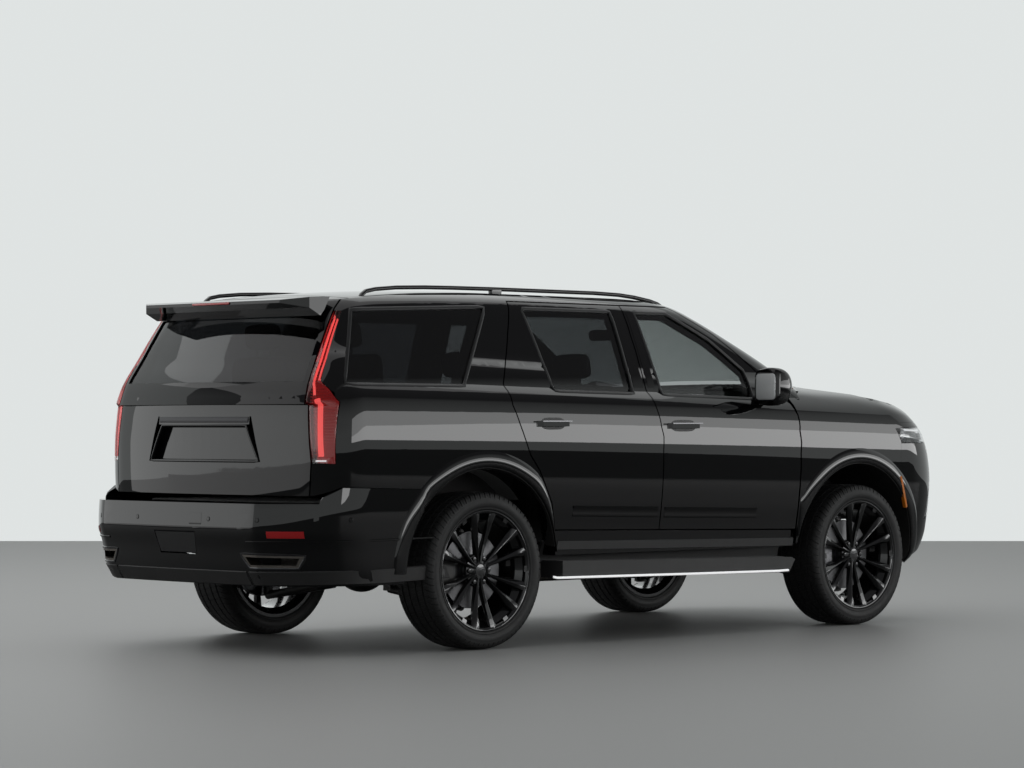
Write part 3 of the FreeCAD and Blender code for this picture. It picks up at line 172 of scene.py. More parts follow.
def grain_group() -> bpy.types.NodeTree:
    """Moulded grain: a height and a mask that change over the surface.

    Returns:
        The group, made on its first use.
    """
    found = bpy.data.node_groups.get(Shared.GRAIN.value)
    if found:
        return found
    nodes, entry, leave = new_group(Shared.GRAIN, {"Scale": 400.0, "Contrast": 0.5}, ("Height", "Mask"))
    place = nodes.add("TexCoord")
    cells = nodes.add("TexVoronoi", feature="SMOOTH_F1")
    broad = nodes.add("TexNoise", {"Detail": 5.0})
    slower = nodes.add("Math", {1: 0.02}, operation="MULTIPLY")
    shape = nodes.add("Math", operation="MULTIPLY")
    nodes.link((place, "Object", cells, "Vector"), (place, "Object", broad, "Vector"),
               (entry, "Scale", cells, "Scale"), (entry, "Scale", slower, 0), (slower, 0, broad, "Scale"),
               (cells, "Distance", shape, 0), (entry, "Contrast", shape, 1),
               (shape, 0, leave, "Height"), (broad, "Fac", leave, "Mask"))
    return nodes.tree


def film_group() -> bpy.types.NodeTree:
    """Road film: a mask that is stronger low on the vehicle and breaks up in patches.

    Returns:
        The group, made on its first use.
    """
    found = bpy.data.node_groups.get(Shared.FILM.value)
    if found:
        return found
    nodes, entry, leave = new_group(Shared.FILM, {"Top": 0.7, "Amount": 0.3}, ("Mask",))
    place = nodes.add("NewGeometry")
    split = nodes.add("SeparateXYZ")
    fall = nodes.add("MapRange", {"From Min": 0.0, "To Min": 1.0, "To Max": 0.0})
    patches = nodes.add("TexNoise", {"Scale": 6.0, "Detail": 6.0})
    both = nodes.add("Math", operation="MULTIPLY")
    share = nodes.add("Math", operation="MULTIPLY")
    nodes.link((place, "Position", split, 0), (split, "Z", fall, "Value"), (entry, "Top", fall, "From Max"),
               (place, "Position", patches, "Vector"), (fall, "Result", both, 0), (patches, "Fac", both, 1),
               (both, 0, share, 0), (entry, "Amount", share, 1), (share, 0, leave, "Mask"))
    return nodes.tree


def opaque(colour: Iterable[float]) -> tuple[float, ...]:
    """A colour with full alpha."""
    return (*colour, 1.0)


def new_material(name: str) -> tuple[bpy.types.Material, Nodes, bpy.types.Node]:
    """Material with its nodes and its Principled shader."""
    made = bpy.data.materials.new(name)
    made.use_nodes = True
    return made, Nodes(made.node_tree), made.node_tree.nodes["Principled BSDF"]


@dataclass(frozen=True)
class Finish:
    """A moulded, painted or cast surface with grain, mottle and road film.

    The shader's plain numbers are set on its own sockets. Grain and film change over the surface.
    """

    name: str
    slot: str
    colour: Colour
    roughness: float
    metallic: float = 0.0
    coat: float = 0.0
    coat_roughness: float = 0.03
    specular: float = 0.5
    grain: float = 0.0
    grain_scale: float = 900.0
    grain_depth_in_metres: float = 0.0004
    mottle: float = 0.05
    film: float = 0.0
    film_top: float = 0.7
    film_colour: Colour = (0.16, 0.15, 0.14)
    sheen: float = 0.0
    emission: Colour | None = None
    emission_strength: float = 0.0

    def material(self) -> bpy.types.Material:
        """Make the material, or find it.

        Returns:
            The material with its nodes.
        """
        found = bpy.data.materials.get(self.name)
        if found:
            return found
        made, nodes, shader = new_material(self.name)
        made.diffuse_color = opaque(self.colour)
        nodes.fill(shader, {
            "Base Color": opaque(self.colour), "Metallic": self.metallic, "Roughness": self.roughness,
            "Coat Weight": self.coat, "Coat Roughness": self.coat_roughness,
            "Specular IOR Level": self.specular, "Sheen Weight": self.sheen})
        if self.emission:
            nodes.fill(shader, {"Emission Color": opaque(self.emission),
                                "Emission Strength": self.emission_strength})
        self.add_variation(nodes, shader)
        return made

    def add_variation(self, nodes: Nodes, shader: bpy.types.Node) -> None:
        """Link what changes over the surface: colour, roughness and grain.

        Args:
            nodes: the material's nodes.
            shader: its Principled shader.
        """
        grain = nodes.place(grain_group(), scale=self.grain_scale)
        rough = nodes.add("MapRange", {"To Min": max(self.roughness - self.mottle, 0.0),
                                       "To Max": min(self.roughness + self.mottle, 1.0)})
        tint = nodes.add("Mix", data_type="RGBA")
        nodes.fill(tint, {"A": opaque(c * (1.0 - self.mottle) for c in self.colour),
                          "B": opaque(min(c * (1.0 + self.mottle), 1.0) for c in self.colour)})
        nodes.link((grain, "Mask", rough, "Value"), (rough, "Result", shader, "Roughness"),
                   (grain, "Mask", tint, "Factor"))
        last = tint
        if self.film > 0.0:
            film = nodes.place(film_group(), top=self.film_top, amount=self.film)
            last = nodes.add("Mix", {"B": opaque(self.film_colour)}, data_type="RGBA")
            nodes.link((film, "Mask", last, "Factor"), (tint, "Result", last, "A"))
        nodes.link((last, "Result", shader, "Base Color"))
        if self.grain > 0.0:
            bump = nodes.add("Bump", {"Strength": self.grain, "Distance": self.grain_depth_in_metres})
            nodes.link((grain, "Height", bump, "Height"), (bump, "Normal", shader, "Normal"))


@dataclass(frozen=True)
class ClearFinish:
    """Glass or a clear lens, tinted by its colour."""

    name: str
    slot: str
    colour: Colour
    ior: float = 1.5
    grain_scale: float = 60.0
    darkest: float = 0.96

    def material(self) -> bpy.types.Material:
        """Make the material, or find it.

        Returns:
            The material with its nodes.
        """
        found = bpy.data.materials.get(self.name)
        if found:
            return found
        made, nodes, shader = new_material(self.name)
        made.diffuse_color = (*self.colour, 0.5)
        nodes.fill(shader, {"Metallic": 0.0, "Transmission Weight": 1.0, "IOR": self.ior, "Roughness": 0.0})
        grain = nodes.place(grain_group(), scale=self.grain_scale)
        tint = nodes.add("Mix", data_type="RGBA")
        nodes.fill(tint, {"A": opaque(self.colour), "B": opaque(c * self.darkest for c in self.colour)})
        nodes.link((grain, "Mask", tint, "Factor"), (tint, "Result", shader, "Base Color"))
        self.let_light_through(nodes, shader)
        return made

    def let_light_through(self, nodes: Nodes, shader: bpy.types.Node) -> None:
        """Let lamps light what lies behind the pane.

        Args:
            nodes: the material's nodes.
            shader: its Principled shader.
        """
        rays = nodes.add("LightPath")
        either = nodes.add("Math", operation="MAXIMUM")
        through = nodes.add("BsdfTransparent", {"Color": opaque(self.colour)})
        mix = nodes.add("MixShader")
        nodes.link((rays, "Is Shadow Ray", either, 0), (rays, "Is Diffuse Ray", either, 1),
                   (either, 0, mix, "Fac"), (shader, "BSDF", mix, 1), (through, "BSDF", mix, 2),
                   (mix, "Shader", nodes.tree.nodes["Material Output"], "Surface"))


PAINT = Finish("black_paint", "paint", (0.0016, 0.0017, 0.0021), 0.5, coat=1.0, coat_roughness=0.012,
               specular=0.0, mottle=0.02, film=0.012, film_top=0.6)
GLOSS = Finish("gloss_black_trim", "gloss_trim", (0.003, 0.003, 0.0033), 0.4, coat=1.0, coat_roughness=0.04,
               specular=0.0, mottle=0.02)
SATIN = Finish("satin_black_trim", "dark_plastic", (0.012, 0.012, 0.013), 0.42, grain=0.15,
               grain_scale=2500.0)
GRAINED = Finish("grained_plastic", "dark_plastic", (0.02, 0.02, 0.021), 0.55, grain=0.6, grain_scale=1500.0,
                 film=0.25)
INNER_TRIM = Finish("inner_trim", "dark_plastic", (0.022, 0.021, 0.021), 0.5, grain=0.4, grain_scale=1200.0)
UNDERSIDE = Finish("underbody_coat", "dark_plastic", (0.012, 0.012, 0.012), 0.75, grain=0.5,
                   grain_scale=500.0, film=0.3)
STEEL = Finish("painted_steel", "steel", (0.02, 0.02, 0.02), 0.45, grain=0.2, grain_scale=600.0, film=0.3)
CAST = Finish("cast_metal", "engine", (0.22, 0.22, 0.23), 0.5, metallic=1.0, grain=0.6, grain_scale=700.0)
EXHAUST_STEEL = Finish("exhaust_steel", "steel", (0.24, 0.22, 0.20), 0.38, metallic=1.0, grain=0.3,
                       grain_scale=300.0, mottle=0.15, film=0.3)
SATIN_METAL = Finish("satin_metal", "gloss_trim", (0.045, 0.045, 0.047), 0.3, metallic=1.0)
DARK_CHROME = Finish("dark_chrome", "gloss_trim", (0.10, 0.10, 0.104), 0.14, metallic=1.0, mottle=0.03)
# Door mirror pane: pale and half diffuse, so it looks whitish under any light; partly silvered glass and
# partly a painted reflection of the pale surroundings.
MIRROR_PAINTED_REFLECTION = Finish("mirror_silver", "clear_lamp", (0.80, 0.81, 0.82), 0.25, metallic=0.5, mottle=0.01)
# Brake disc: coloured far darker than bare steel, a painted shade for the inside of the wheel behind the
# spokes.
DISC_PAINTED_SHADE = Finish("machined_disc", "steel", (0.14, 0.14, 0.145), 0.3, metallic=1.0, grain=0.2, grain_scale=2500.0)
RIM = Finish("dark_gloss_rim", "rim", (0.018, 0.018, 0.019), 0.24, metallic=0.75, coat=1.0,
             coat_roughness=0.03)
RUBBER = Finish("tyre_rubber", "tyre", (0.011, 0.011, 0.0115), 0.6, grain=0.35, grain_scale=1800.0,
                mottle=0.12, film=0.05, film_top=0.9)
CARPET = Finish("cabin_carpet", "floor", (0.018, 0.017, 0.017), 0.95, grain=0.9, grain_scale=2200.0,
                sheen=0.4)
LEATHER = Finish("black_leather", "leather", (0.028, 0.026, 0.025), 0.42, grain=0.55, grain_scale=1100.0,
                 mottle=0.1)
LINING = Finish("roof_lining", "floor", (0.30, 0.29, 0.28), 0.9, grain=0.4, grain_scale=2600.0)
RED_BOWL = Finish("red_lamp_bowl", "red_lamp", (0.30, 0.02, 0.022), 0.3, emission=(0.6, 0.03, 0.03),
                  emission_strength=0.10)
RED_BAR = Finish("red_light_bar", "red_lamp", (0.85, 0.30, 0.28), 0.3, emission=(1.0, 0.34, 0.32),
                 emission_strength=0.75)
RED_SOLID = Finish("red_reflector", "red_lamp", (0.42, 0.006, 0.008), 0.15, coat=1.0, grain=0.5,
                   grain_scale=350.0)
AMBER_LENS = Finish("amber_lens", "red_lamp", (0.75, 0.20, 0.01), 0.18, coat=1.0, grain=0.3,
                    grain_scale=350.0)
WHITE_BAR = Finish("white_light_bar", "clear_lamp", (0.85, 0.86, 0.88), 0.3, emission=(1.0, 1.0, 1.0),
                   emission_strength=0.5)
TINTED = ClearFinish("tinted_glass", "dark_glass", (0.085, 0.09, 0.095))
SIDE_GLASS = ClearFinish("side_glass", "dark_glass", (0.40, 0.42, 0.42))
LIGHT_GLASS = ClearFinish("light_glass", "glass", (0.55, 0.59, 0.58))
RED_LENS = ClearFinish("red_lens", "red_lamp", (0.86, 0.30, 0.30))
CLEAR_LENS = ClearFinish("clear_lens", "clear_lamp", (0.93, 0.94, 0.95))
AnyFinish = Finish | ClearFinish


# The body's outer skin


def arc_points(a: Point2, b: Point2, c: Point2, count: int) -> np.ndarray:
    """Points along the circle arc from a through b to c.

    Args:
        a: the start.
        b: a point between.
        c: the end.
        count: how many points.

    Returns:
        An array of points.
    """
    (ax, ay), (bx, by), (cx, cy) = a, b, c
    d = 2 * (ax * (by - cy) + bx * (cy - ay) + cx * (ay - by))
    sa, sb, sc = ax * ax + ay * ay, bx * bx + by * by, cx * cx + cy * cy
    ux = (sa * (by - cy) + sb * (cy - ay) + sc * (ay - by)) / d
    uy = (sa * (cx - bx) + sb * (ax - cx) + sc * (bx - ax)) / d
    angles = np.unwrap([math.atan2(y - uy, x - ux) for x, y in (a, b, c)])
    turn = np.linspace(angles[0], angles[2], count)
    radius = math.hypot(ax - ux, ay - uy)
    return np.stack([ux + radius * np.cos(turn), uy + radius * np.sin(turn)], axis=1)


def bend_points(a: Point2, b: Point2, c: Point2, count: int) -> np.ndarray:
    """Points along the soft corner from a to c whose control point is b.

    Args:
        a: the start.
        b: the control point.
        c: the end.
        count: how many points.

    Returns:
        An array of points.
    """
    t = np.linspace(0, 1, count)[:, None]
    return (1 - t) ** 2 * np.array(a) + 2 * t * (1 - t) * np.array(b) + t * t * np.array(c)


def even_curve(xs: np.ndarray, ys: np.ndarray, x: np.ndarray) -> np.ndarray:
    """Smooth curve through points that never overshoots them.

    Args:
        xs: rising places.
        ys: values there.
        x: places to read.

    Returns:
        The values at x.
    """
    h = np.diff(xs)
    d = np.diff(ys) / h
    m = np.zeros(len(xs))
    m[0], m[-1] = d[0], d[-1]
    for k in range(1, len(xs) - 1):
        if d[k - 1] * d[k] > 0.0:
            w1, w2 = 2 * h[k] + h[k - 1], h[k] + 2 * h[k - 1]
            m[k] = (w1 + w2) / (w1 / d[k - 1] + w2 / d[k])
    i = np.clip(np.searchsorted(xs, x) - 1, 0, len(h) - 1)
    t = np.clip((x - xs[i]) / h[i], 0.0, 1.0)
    value = (1 + 2 * t) * (1 - t) ** 2 * ys[i] + t * (1 - t) ** 2 * h[i] * m[i]
    return value + t * t * (3 - 2 * t) * ys[i + 1] + t * t * (t - 1) * h[i] * m[i + 1]


@dataclass(frozen=True)
class Corner:
    """Soft corner of a plan outline: where the side ends, its control point, the end's depth and inset."""

    side: float
    control: float
    end: float
    inward: float


@dataclass
class LevelSkin:
    """Skin through plan outlines at rising heights: a table of rows (heights) and columns (round the plan).

    A level is (height, half width, tail x, nose x).
    """

    levels: Sequence[tuple[float, float, float, float]]
    tail: Corner
    nose: Corner
    bow: Point2
    rake: float = 0.0
    pivot: float = 760.0
    inset: float = 0.0
    step: float = 8.0
    middle_x: float = -200.0
    end_columns: int = 24
    corner_columns: int = 20
    side_columns: int = 60
    chunk: int = 4000
    far: float = 1e6
    start_x: float = 2450.0
    overlap: float = 2.0
    low: float = field(init=False)
    plain: np.ndarray = field(init=False)
    smooth: np.ndarray = field(init=False)
    normals: np.ndarray = field(init=False)

    def __post_init__(self) -> None:
        """Fill the tables."""
        rows = np.array(self.levels, float)
        z = rows[:, 0]
        self.low = z[0]
        heights = np.arange(z[0], z[-1] + 0.1, self.step)
        self.plain = self.table([np.interp(heights, z, rows[:, k]) for k in (1, 2, 3)])
        self.smooth = self.table([even_curve(z, rows[:, k], heights) for k in (1, 2, 3)])
        along = np.gradient(self.smooth, axis=1)
        up = np.gradient(self.smooth, self.step, axis=0)
        t3 = np.concatenate([along, np.zeros(along.shape[:2] + (1,))], axis=2)
        u3 = np.concatenate([up, np.ones(up.shape[:2] + (1,))], axis=2)
        normal = np.cross(u3, t3)
        self.normals = normal / np.linalg.norm(normal, axis=2, keepdims=True)

    def table(self, values: list[np.ndarray]) -> np.ndarray:
        """Plan outlines of the left half, row by row, from the tail's middle to the nose's middle.

        Args:
            values: half width, tail x and nose x at each height.

        Returns:
            Rows of points.
        """
        rows = []
        for half, tail, nose in zip(*values):
            half, tail, nose = half - self.inset, tail + self.inset, nose - self.inset
            tail_y, nose_y = half - self.bow[0], half - self.bow[1]
            s_tail = (tail + self.tail.side, tail_y)
            e_tail = (tail + self.tail.end, tail_y - self.tail.inward)
            s_nose = (nose - self.nose.side, nose_y)
            e_nose = (nose - self.nose.end, nose_y - self.nose.inward)
            ends, corner = 2 * self.end_columns + 1, self.corner_columns + 1
            parts = [
                arc_points((e_tail[0], -e_tail[1]), (tail, 0), e_tail, ends)[self.end_columns:-1],
                bend_points(e_tail, (tail + self.tail.control, tail_y), s_tail, corner)[:-1],
                arc_points(s_tail, (self.middle_x, half), s_nose, self.side_columns + 1)[:-1],
                bend_points(s_nose, (nose - self.nose.control, nose_y), e_nose, corner)[:-1],
                arc_points(e_nose, (nose, 0), (e_nose[0], -e_nose[1]), ends)[:self.end_columns + 1],
            ]
            rows.append(np.concatenate(parts))
        return np.array(rows)

    def unrake(self, points: np.ndarray) -> np.ndarray:
        """Points as they lie before the body's rake."""
        return self.turned(points, -self.rake)

    def turned(self, points: np.ndarray, degrees: float, free: bool = False) -> np.ndarray:
        """Points or directions turned about the cross axis.

        Args:
            points: rows of x, y, z.
            degrees: how far.
            free: True for directions.

        Returns:
            The turned rows.
        """
        a = math.radians(degrees)
        shift = 0 if free else self.pivot
        x, z = points[:, 0], points[:, 2] - shift
        turned_x = x * math.cos(a) + z * math.sin(a)
        turned_z = -x * math.sin(a) + z * math.cos(a) + shift
        return np.stack([turned_x, points[:, 1], turned_z], axis=1)

    def locate(self, points: np.ndarray) -> tuple[np.ndarray, np.ndarray, np.ndarray]:
        """Where points lie in the table, and how far they are from the plain skin.

        Args:
            points: rows of x, y, z.

        Returns:
            Rows, columns and distances; a distance is large above or below the skin.
        """
        flat = self.unrake(points)
        last = len(self.plain) - 1
        level = (flat[:, 2] - self.low) / self.step
        outside = (level < -0.05) | (level > last + 0.05)
        row = np.clip(level, 0.0, last - 1e-6)
        columns = np.zeros(len(points))
        distances = np.zeros(len(points))
        for start in range(0, len(points), self.chunk):
            part = slice(start, start + self.chunk)
            i = row[part].astype(int)
            f = (row[part] - i)[:, None, None]
            lines = (1 - f) * self.plain[i] + f * self.plain[i + 1]
            target = np.stack([flat[part, 0], np.abs(flat[part, 1])], axis=1)[:, None]
            ends = lines[:, 1:] - lines[:, :-1]
            share = np.sum((target - lines[:, :-1]) * ends, axis=2) / np.sum(ends * ends, axis=2)
            share = np.clip(share, 0.0, 1.0)
            near = lines[:, :-1] + share[..., None] * ends
            away = np.linalg.norm(target - near, axis=2)
            best = np.argmin(away, axis=1)
            index = np.arange(len(best))
            columns[part] = best + share[index, best]
            distances[part] = away[index, best]
        distances[outside] = self.far
        return row, columns, distances

    def read(self, table: np.ndarray, row: np.ndarray, column: np.ndarray) -> np.ndarray:
        """Values of a table between its rows and columns."""
        i = np.clip(row.astype(int), 0, table.shape[0] - 2)
        j = np.clip(column.astype(int), 0, table.shape[1] - 2)
        f, g = (row - i)[:, None], (column - j)[:, None]
        low = (1 - g) * table[i, j] + g * table[i, j + 1]
        high = (1 - g) * table[i + 1, j] + g * table[i + 1, j + 1]
        return (1 - f) * low + f * high

    def place(self, row: np.ndarray, column: np.ndarray, sign: np.ndarray) -> Skinned:
        """Points and outward normals of the smooth skin at places in the table.

        Args:
            row: rows.
            column: columns.
            sign: 1 on the left side and -1 on the right.

        Returns:
            Points and normals.
        """
        flat = self.read(self.smooth, row, column)
        normal = self.read(self.normals, row, column)
        points = np.stack([flat[:, 0], flat[:, 1] * sign, self.low + row * self.step], axis=1)
        normal = np.stack([normal[:, 0], normal[:, 1] * sign, normal[:, 2]], axis=1)
        normal /= np.linalg.norm(normal, axis=1, keepdims=True)
        return self.turned(points, self.rake), self.turned(normal, self.rake, free=True)

    def rows_at(self, x: np.ndarray, y: np.ndarray, z: np.ndarray) -> tuple[np.ndarray, np.ndarray]:
        """Places along before the rake, and rows of the table, of points."""
        flat = self.unrake(np.stack([x, y, z], axis=1))
        return flat[:, 0], np.clip((flat[:, 2] - self.low) / self.step, 0.0, len(self.smooth) - 1 - 1e-6)

    def outline(self, row: float) -> np.ndarray:
        """Plan outline at one row, which may lie between two."""
        i = int(row)
        return (1 - (row - i)) * self.smooth[i] + (row - i) * self.smooth[i + 1]

    def from_side(self, x: np.ndarray, z: np.ndarray, side: float) -> Skinned:
        """Points and normals of the skin where the side view is x and z.

        Args:
            x: places along.
            z: heights.
            side: 1 for left and -1 for right.

        Returns:
            Points and normals.
        """
        flat_x, rows = self.rows_at(x, np.zeros(len(x)), z)
        column = np.zeros(len(x))
        for n, row in enumerate(rows):
            line = self.outline(row)[:, 0]
            column[n] = np.interp(flat_x[n], line, np.arange(len(line)))
        return self.place(rows, column, np.full(len(x), side))

    def from_end(self, u: np.ndarray, z: np.ndarray, rear: bool, side: float) -> Skinned:
        """Points and normals of the tail or nose, on round the corner along the side.

        Args:
            u: places across; past the corner they go on along the side.
            z: heights.
            rear: True for the tail and False for the nose.
            side: 1 for left, -1 for right, or 0 where u has its own sign.

        Returns:
            Points and normals.
        """
        reach = np.abs(u)
        sign = np.where(u < 0.0, -1.0, 1.0) if side == 0.0 else np.full(len(u), side)
        tail_end = self.end_columns + self.corner_columns
        nose_end = tail_end + self.side_columns
        x = np.full(len(u), -self.start_x if rear else self.start_x)
        points = normals = np.zeros((len(u), 3))
        for _ in range(3):
            _, rows = self.rows_at(x, u, z)
            column = np.zeros(len(u))
            for n, row in enumerate(rows):
                line = self.outline(row)
                index = np.arange(len(line))
                edge = line[tail_end if rear else nose_end]
                over = reach[n] - (edge[1] - self.overlap)
                if over > 0.0:
                    column[n] = np.interp(edge[0] + (over if rear else -over), line[:, 0], index)
                elif rear:
                    column[n] = np.interp(reach[n], line[:tail_end + 1, 1], index[:tail_end + 1])
                else:
                    column[n] = np.interp(-reach[n], -line[nose_end:, 1], index[nose_end:])
            points, normals = self.place(rows, column, sign)
            x = points[:, 0]
        return points, normals


@dataclass
class CrownSkin:
    """Upper skin crowned across, through stations of (x, height on the centre line)."""

    stations: Sequence[Point2]
    crown: float
    reach: float = 680.0
    probe: float = 12.0

    def heights(self, points: np.ndarray, smooth: bool) -> np.ndarray:
        """Height of the skin over each point.

        Args:
            points: rows of x, y, z.
            smooth: True for the smooth curve and False for the plain one.

        Returns:
            The heights.
        """
        xs, zs = np.array(self.stations, float).T
        line = even_curve(xs, zs, points[:, 0]) if smooth else np.interp(points[:, 0], xs, zs)
        return line - self.crown * (points[:, 1] / self.reach) ** 2

    def normals(self, points: np.ndarray) -> np.ndarray:
        """Upward normals of the smooth skin over each point."""
        step = np.array([self.probe, 0, 0])
        slope = (self.heights(points + step, True) - self.heights(points - step, True)) / (2 * self.probe)
        across = 2 * self.crown * points[:, 1] / self.reach**2
        normal = np.stack([-slope, across, np.ones(len(points))], axis=1)
        return normal / np.linalg.norm(normal, axis=1, keepdims=True)


HALF_WIDTH = 1026
TAIL_X = -2691
NOSE_X = 2691
LOWER_ROWS = (
    (250, 62, 271, 441), (400, 50, 241, 191), (480, 45, 221, 51), (620, 30, 201, 3),
    (760, 12, 191, 0), (900, 2, 188, 1), (1050, 0, 186, 26), (1180, 4, 191, 79),
    (1290, 16, 199, 191), (1385, 86, 213, 341), (1490, 340, 400, 641))
CABIN_ROWS = (
    (1300, 953, -2500, 1720), (1398, 944, -2470, 1520), (1544, 899, -2397, 1280),
    (1688, 850, -2325, 1000), (1800, 806, -2268, 770), (1860, 770, -2238, 640),
    (1905, 705, -2215, 500), (1945, 610, -2190, 380))
BUMPER_ROWS = (
    (365, 992, -2600, 2400), (430, 1000, -2640, 2400), (560, 1006, -2668, 2400),
    (650, 1010, TAIL_X, 2400), (760, 1014, TAIL_X + 6, 2400), (880, 1014, TAIL_X + 20, 2400))
HOOD_STATIONS = (
    (-2900, 1640), (1100, 1492), (1425, 1450), (1783, 1422), (2121, 1374), (2379, 1312),
    (2517, 1251), (2620, 1160), (2800, 860))
ROOF_STATIONS = (
    (-2700, 1780), (-2200, 1868), (-1947, 1898), (-1520, 1926), (-1078, 1936), (-64, 1934),
    (182, 1924), (385, 1898), (587, 1862), (1900, 1560))


def cabin_skin(inset: float = 0.0) -> LevelSkin:
    """The cabin's skin, drawn in by an inset."""
    return LevelSkin(CABIN_ROWS, Corner(220, 79, 50, 170), Corner(420, 190, 110, 250), (40, 12),
                     inset=inset)


LOWER = LevelSkin(tuple((z, HALF_WIDTH - less, TAIL_X + t, NOSE_X - n) for z, less, t, n in LOWER_ROWS),
                  Corner(300, 95, 60, 235), Corner(491, 111, 19, 380), (42, 38), rake=1.1)
CABIN = cabin_skin()
BUMPER = LevelSkin(BUMPER_ROWS, Corner(531, 171, 23, 345), Corner(500, 190, 110, 250), (32, 38))
HOOD = CrownSkin(HOOD_STATIONS, 30)
ROOF = CrownSkin(ROOF_STATIONS, 27)


# Mesh helpers


def new_piece(name: str, mesh: bpy.types.Mesh, body: str, *finishes: AnyFinish,
              at: Sequence[float] = (0.0, 0.0, 0.0), turn: float = 0.0) -> bpy.types.Object:
    """Put a mesh into the scene as a piece that rides on a body.

    Args:
        name: the piece's name.
        mesh: its mesh, in metres; a mesh that several pieces share gets its materials from the first.
        body: the CAD body that it moves with.
        finishes: its materials, in the order of the faces' indices.
        at: where its origin goes.
        turn: radians about the upright axis.

    Returns:
        The piece.
    """
    piece = bpy.data.objects.new(name, mesh)
    bpy.context.scene.collection.objects.link(piece)
    piece.location = Vector(at) * MM
    piece.rotation_euler = (0, 0, turn)
    if len(mesh.materials) == 0:
        for finish in finishes:
            mesh.materials.append(finish.material())
    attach(piece, body)
    return piece


def solid_piece(name: str, solid: Solid, body: str, finish: AnyFinish,
                angle: float = 35.0) -> bpy.types.Object:
    """Piece from points and faces; its edges sharper than the angle stay sharp."""
    return new_piece(name, mesh_from(name, *solid, angle=angle), body, finish)


def mesh_from(name: str, points: Iterable[Sequence[float]], faces: Iterable[Sequence[int]],
              smooth: bool = True, angle: float = 35.0) -> bpy.types.Mesh:
    """Mesh from points in millimetres and faces.

    Args:
        name: the mesh's name.
        points: its points.
        faces: its faces.
        smooth: whether it is shaded smooth up to the angle.
        angle: edges sharper than this stay sharp, in degrees.

    Returns:
        The mesh, in metres, with outward normals.
    """
    mesh = bpy.data.meshes.new(name)
    mesh.from_pydata([tuple(c * MM for c in p) for p in points], [], [tuple(f) for f in faces])
    work = bmesh.new()
    work.from_mesh(mesh)
    bmesh.ops.recalc_face_normals(work, faces=work.faces)
    limit = math.radians(angle)
    for face in work.faces:
        face.smooth = smooth
    for edge in work.edges:
        edge.smooth = len(edge.link_faces) == 2 and edge.calc_face_angle(0) < limit
    work.to_mesh(mesh)
    work.free()
    return mesh


def grid_faces(rows: int, columns: int, close_rows: bool = False, close_columns: bool = False) -> Faces:
    """Faces of a grid of points stored row by row.

    Args:
        rows: how many rows.
        columns: how many columns.
        close_rows: whether the last row joins the first.
        close_columns: whether the last column joins the first.

    Returns:
        Faces of four points.
    """
    faces = []
    for i in range(rows if close_rows else rows - 1):
        for j in range(columns if close_columns else columns - 1):
            k, m = (i + 1) % rows, (j + 1) % columns
            faces.append((i * columns + j, i * columns + m, k * columns + m, k * columns + j))
    return faces


def lathe(profile: Sequence[Point2], count: int) -> Solid:
    """Ring turned about the cross axis from a closed profile of (across, radius).

    Args:
        profile: the section.
        count: steps round.

    Returns:
        Points and faces.
    """
    points = []
    for n in range(count):
        a = 2 * math.pi * n / count
        points.extend((r * math.cos(a), y, r * math.sin(a)) for y, r in profile)
    return points, grid_faces(count, len(profile), True, True)


def merged(parts: Iterable[Solid]) -> Solid:
    """Several sets of points and faces as one.

    Args:
        parts: pairs of points and faces.

    Returns:
        All points and all faces.
    """
    points, faces = [], []
    for some_points, some_faces in parts:
        start = len(points)
        points.extend(some_points)
        faces.extend(tuple(start + k for k in f) for f in some_faces)
    return points, faces


def bar_loft(sections: Sequence[Sequence[Sequence[float]]]) -> Solid:
    """Closed bar through sections that have the same number of points.

    Args:
        sections: rings of points.

    Returns:
        Points and faces, with both ends closed.
    """
    count = len(sections[0])
    points = [p for ring in sections for p in ring]
    faces = grid_faces(len(sections), count, False, True)
    faces.append(tuple(range(count)))
    last = (len(sections) - 1) * count
    faces.append(tuple(range(last + count - 1, last - 1, -1)))
    return points, faces


# Panels that take their form from the CAD nodes and their surface from the skin


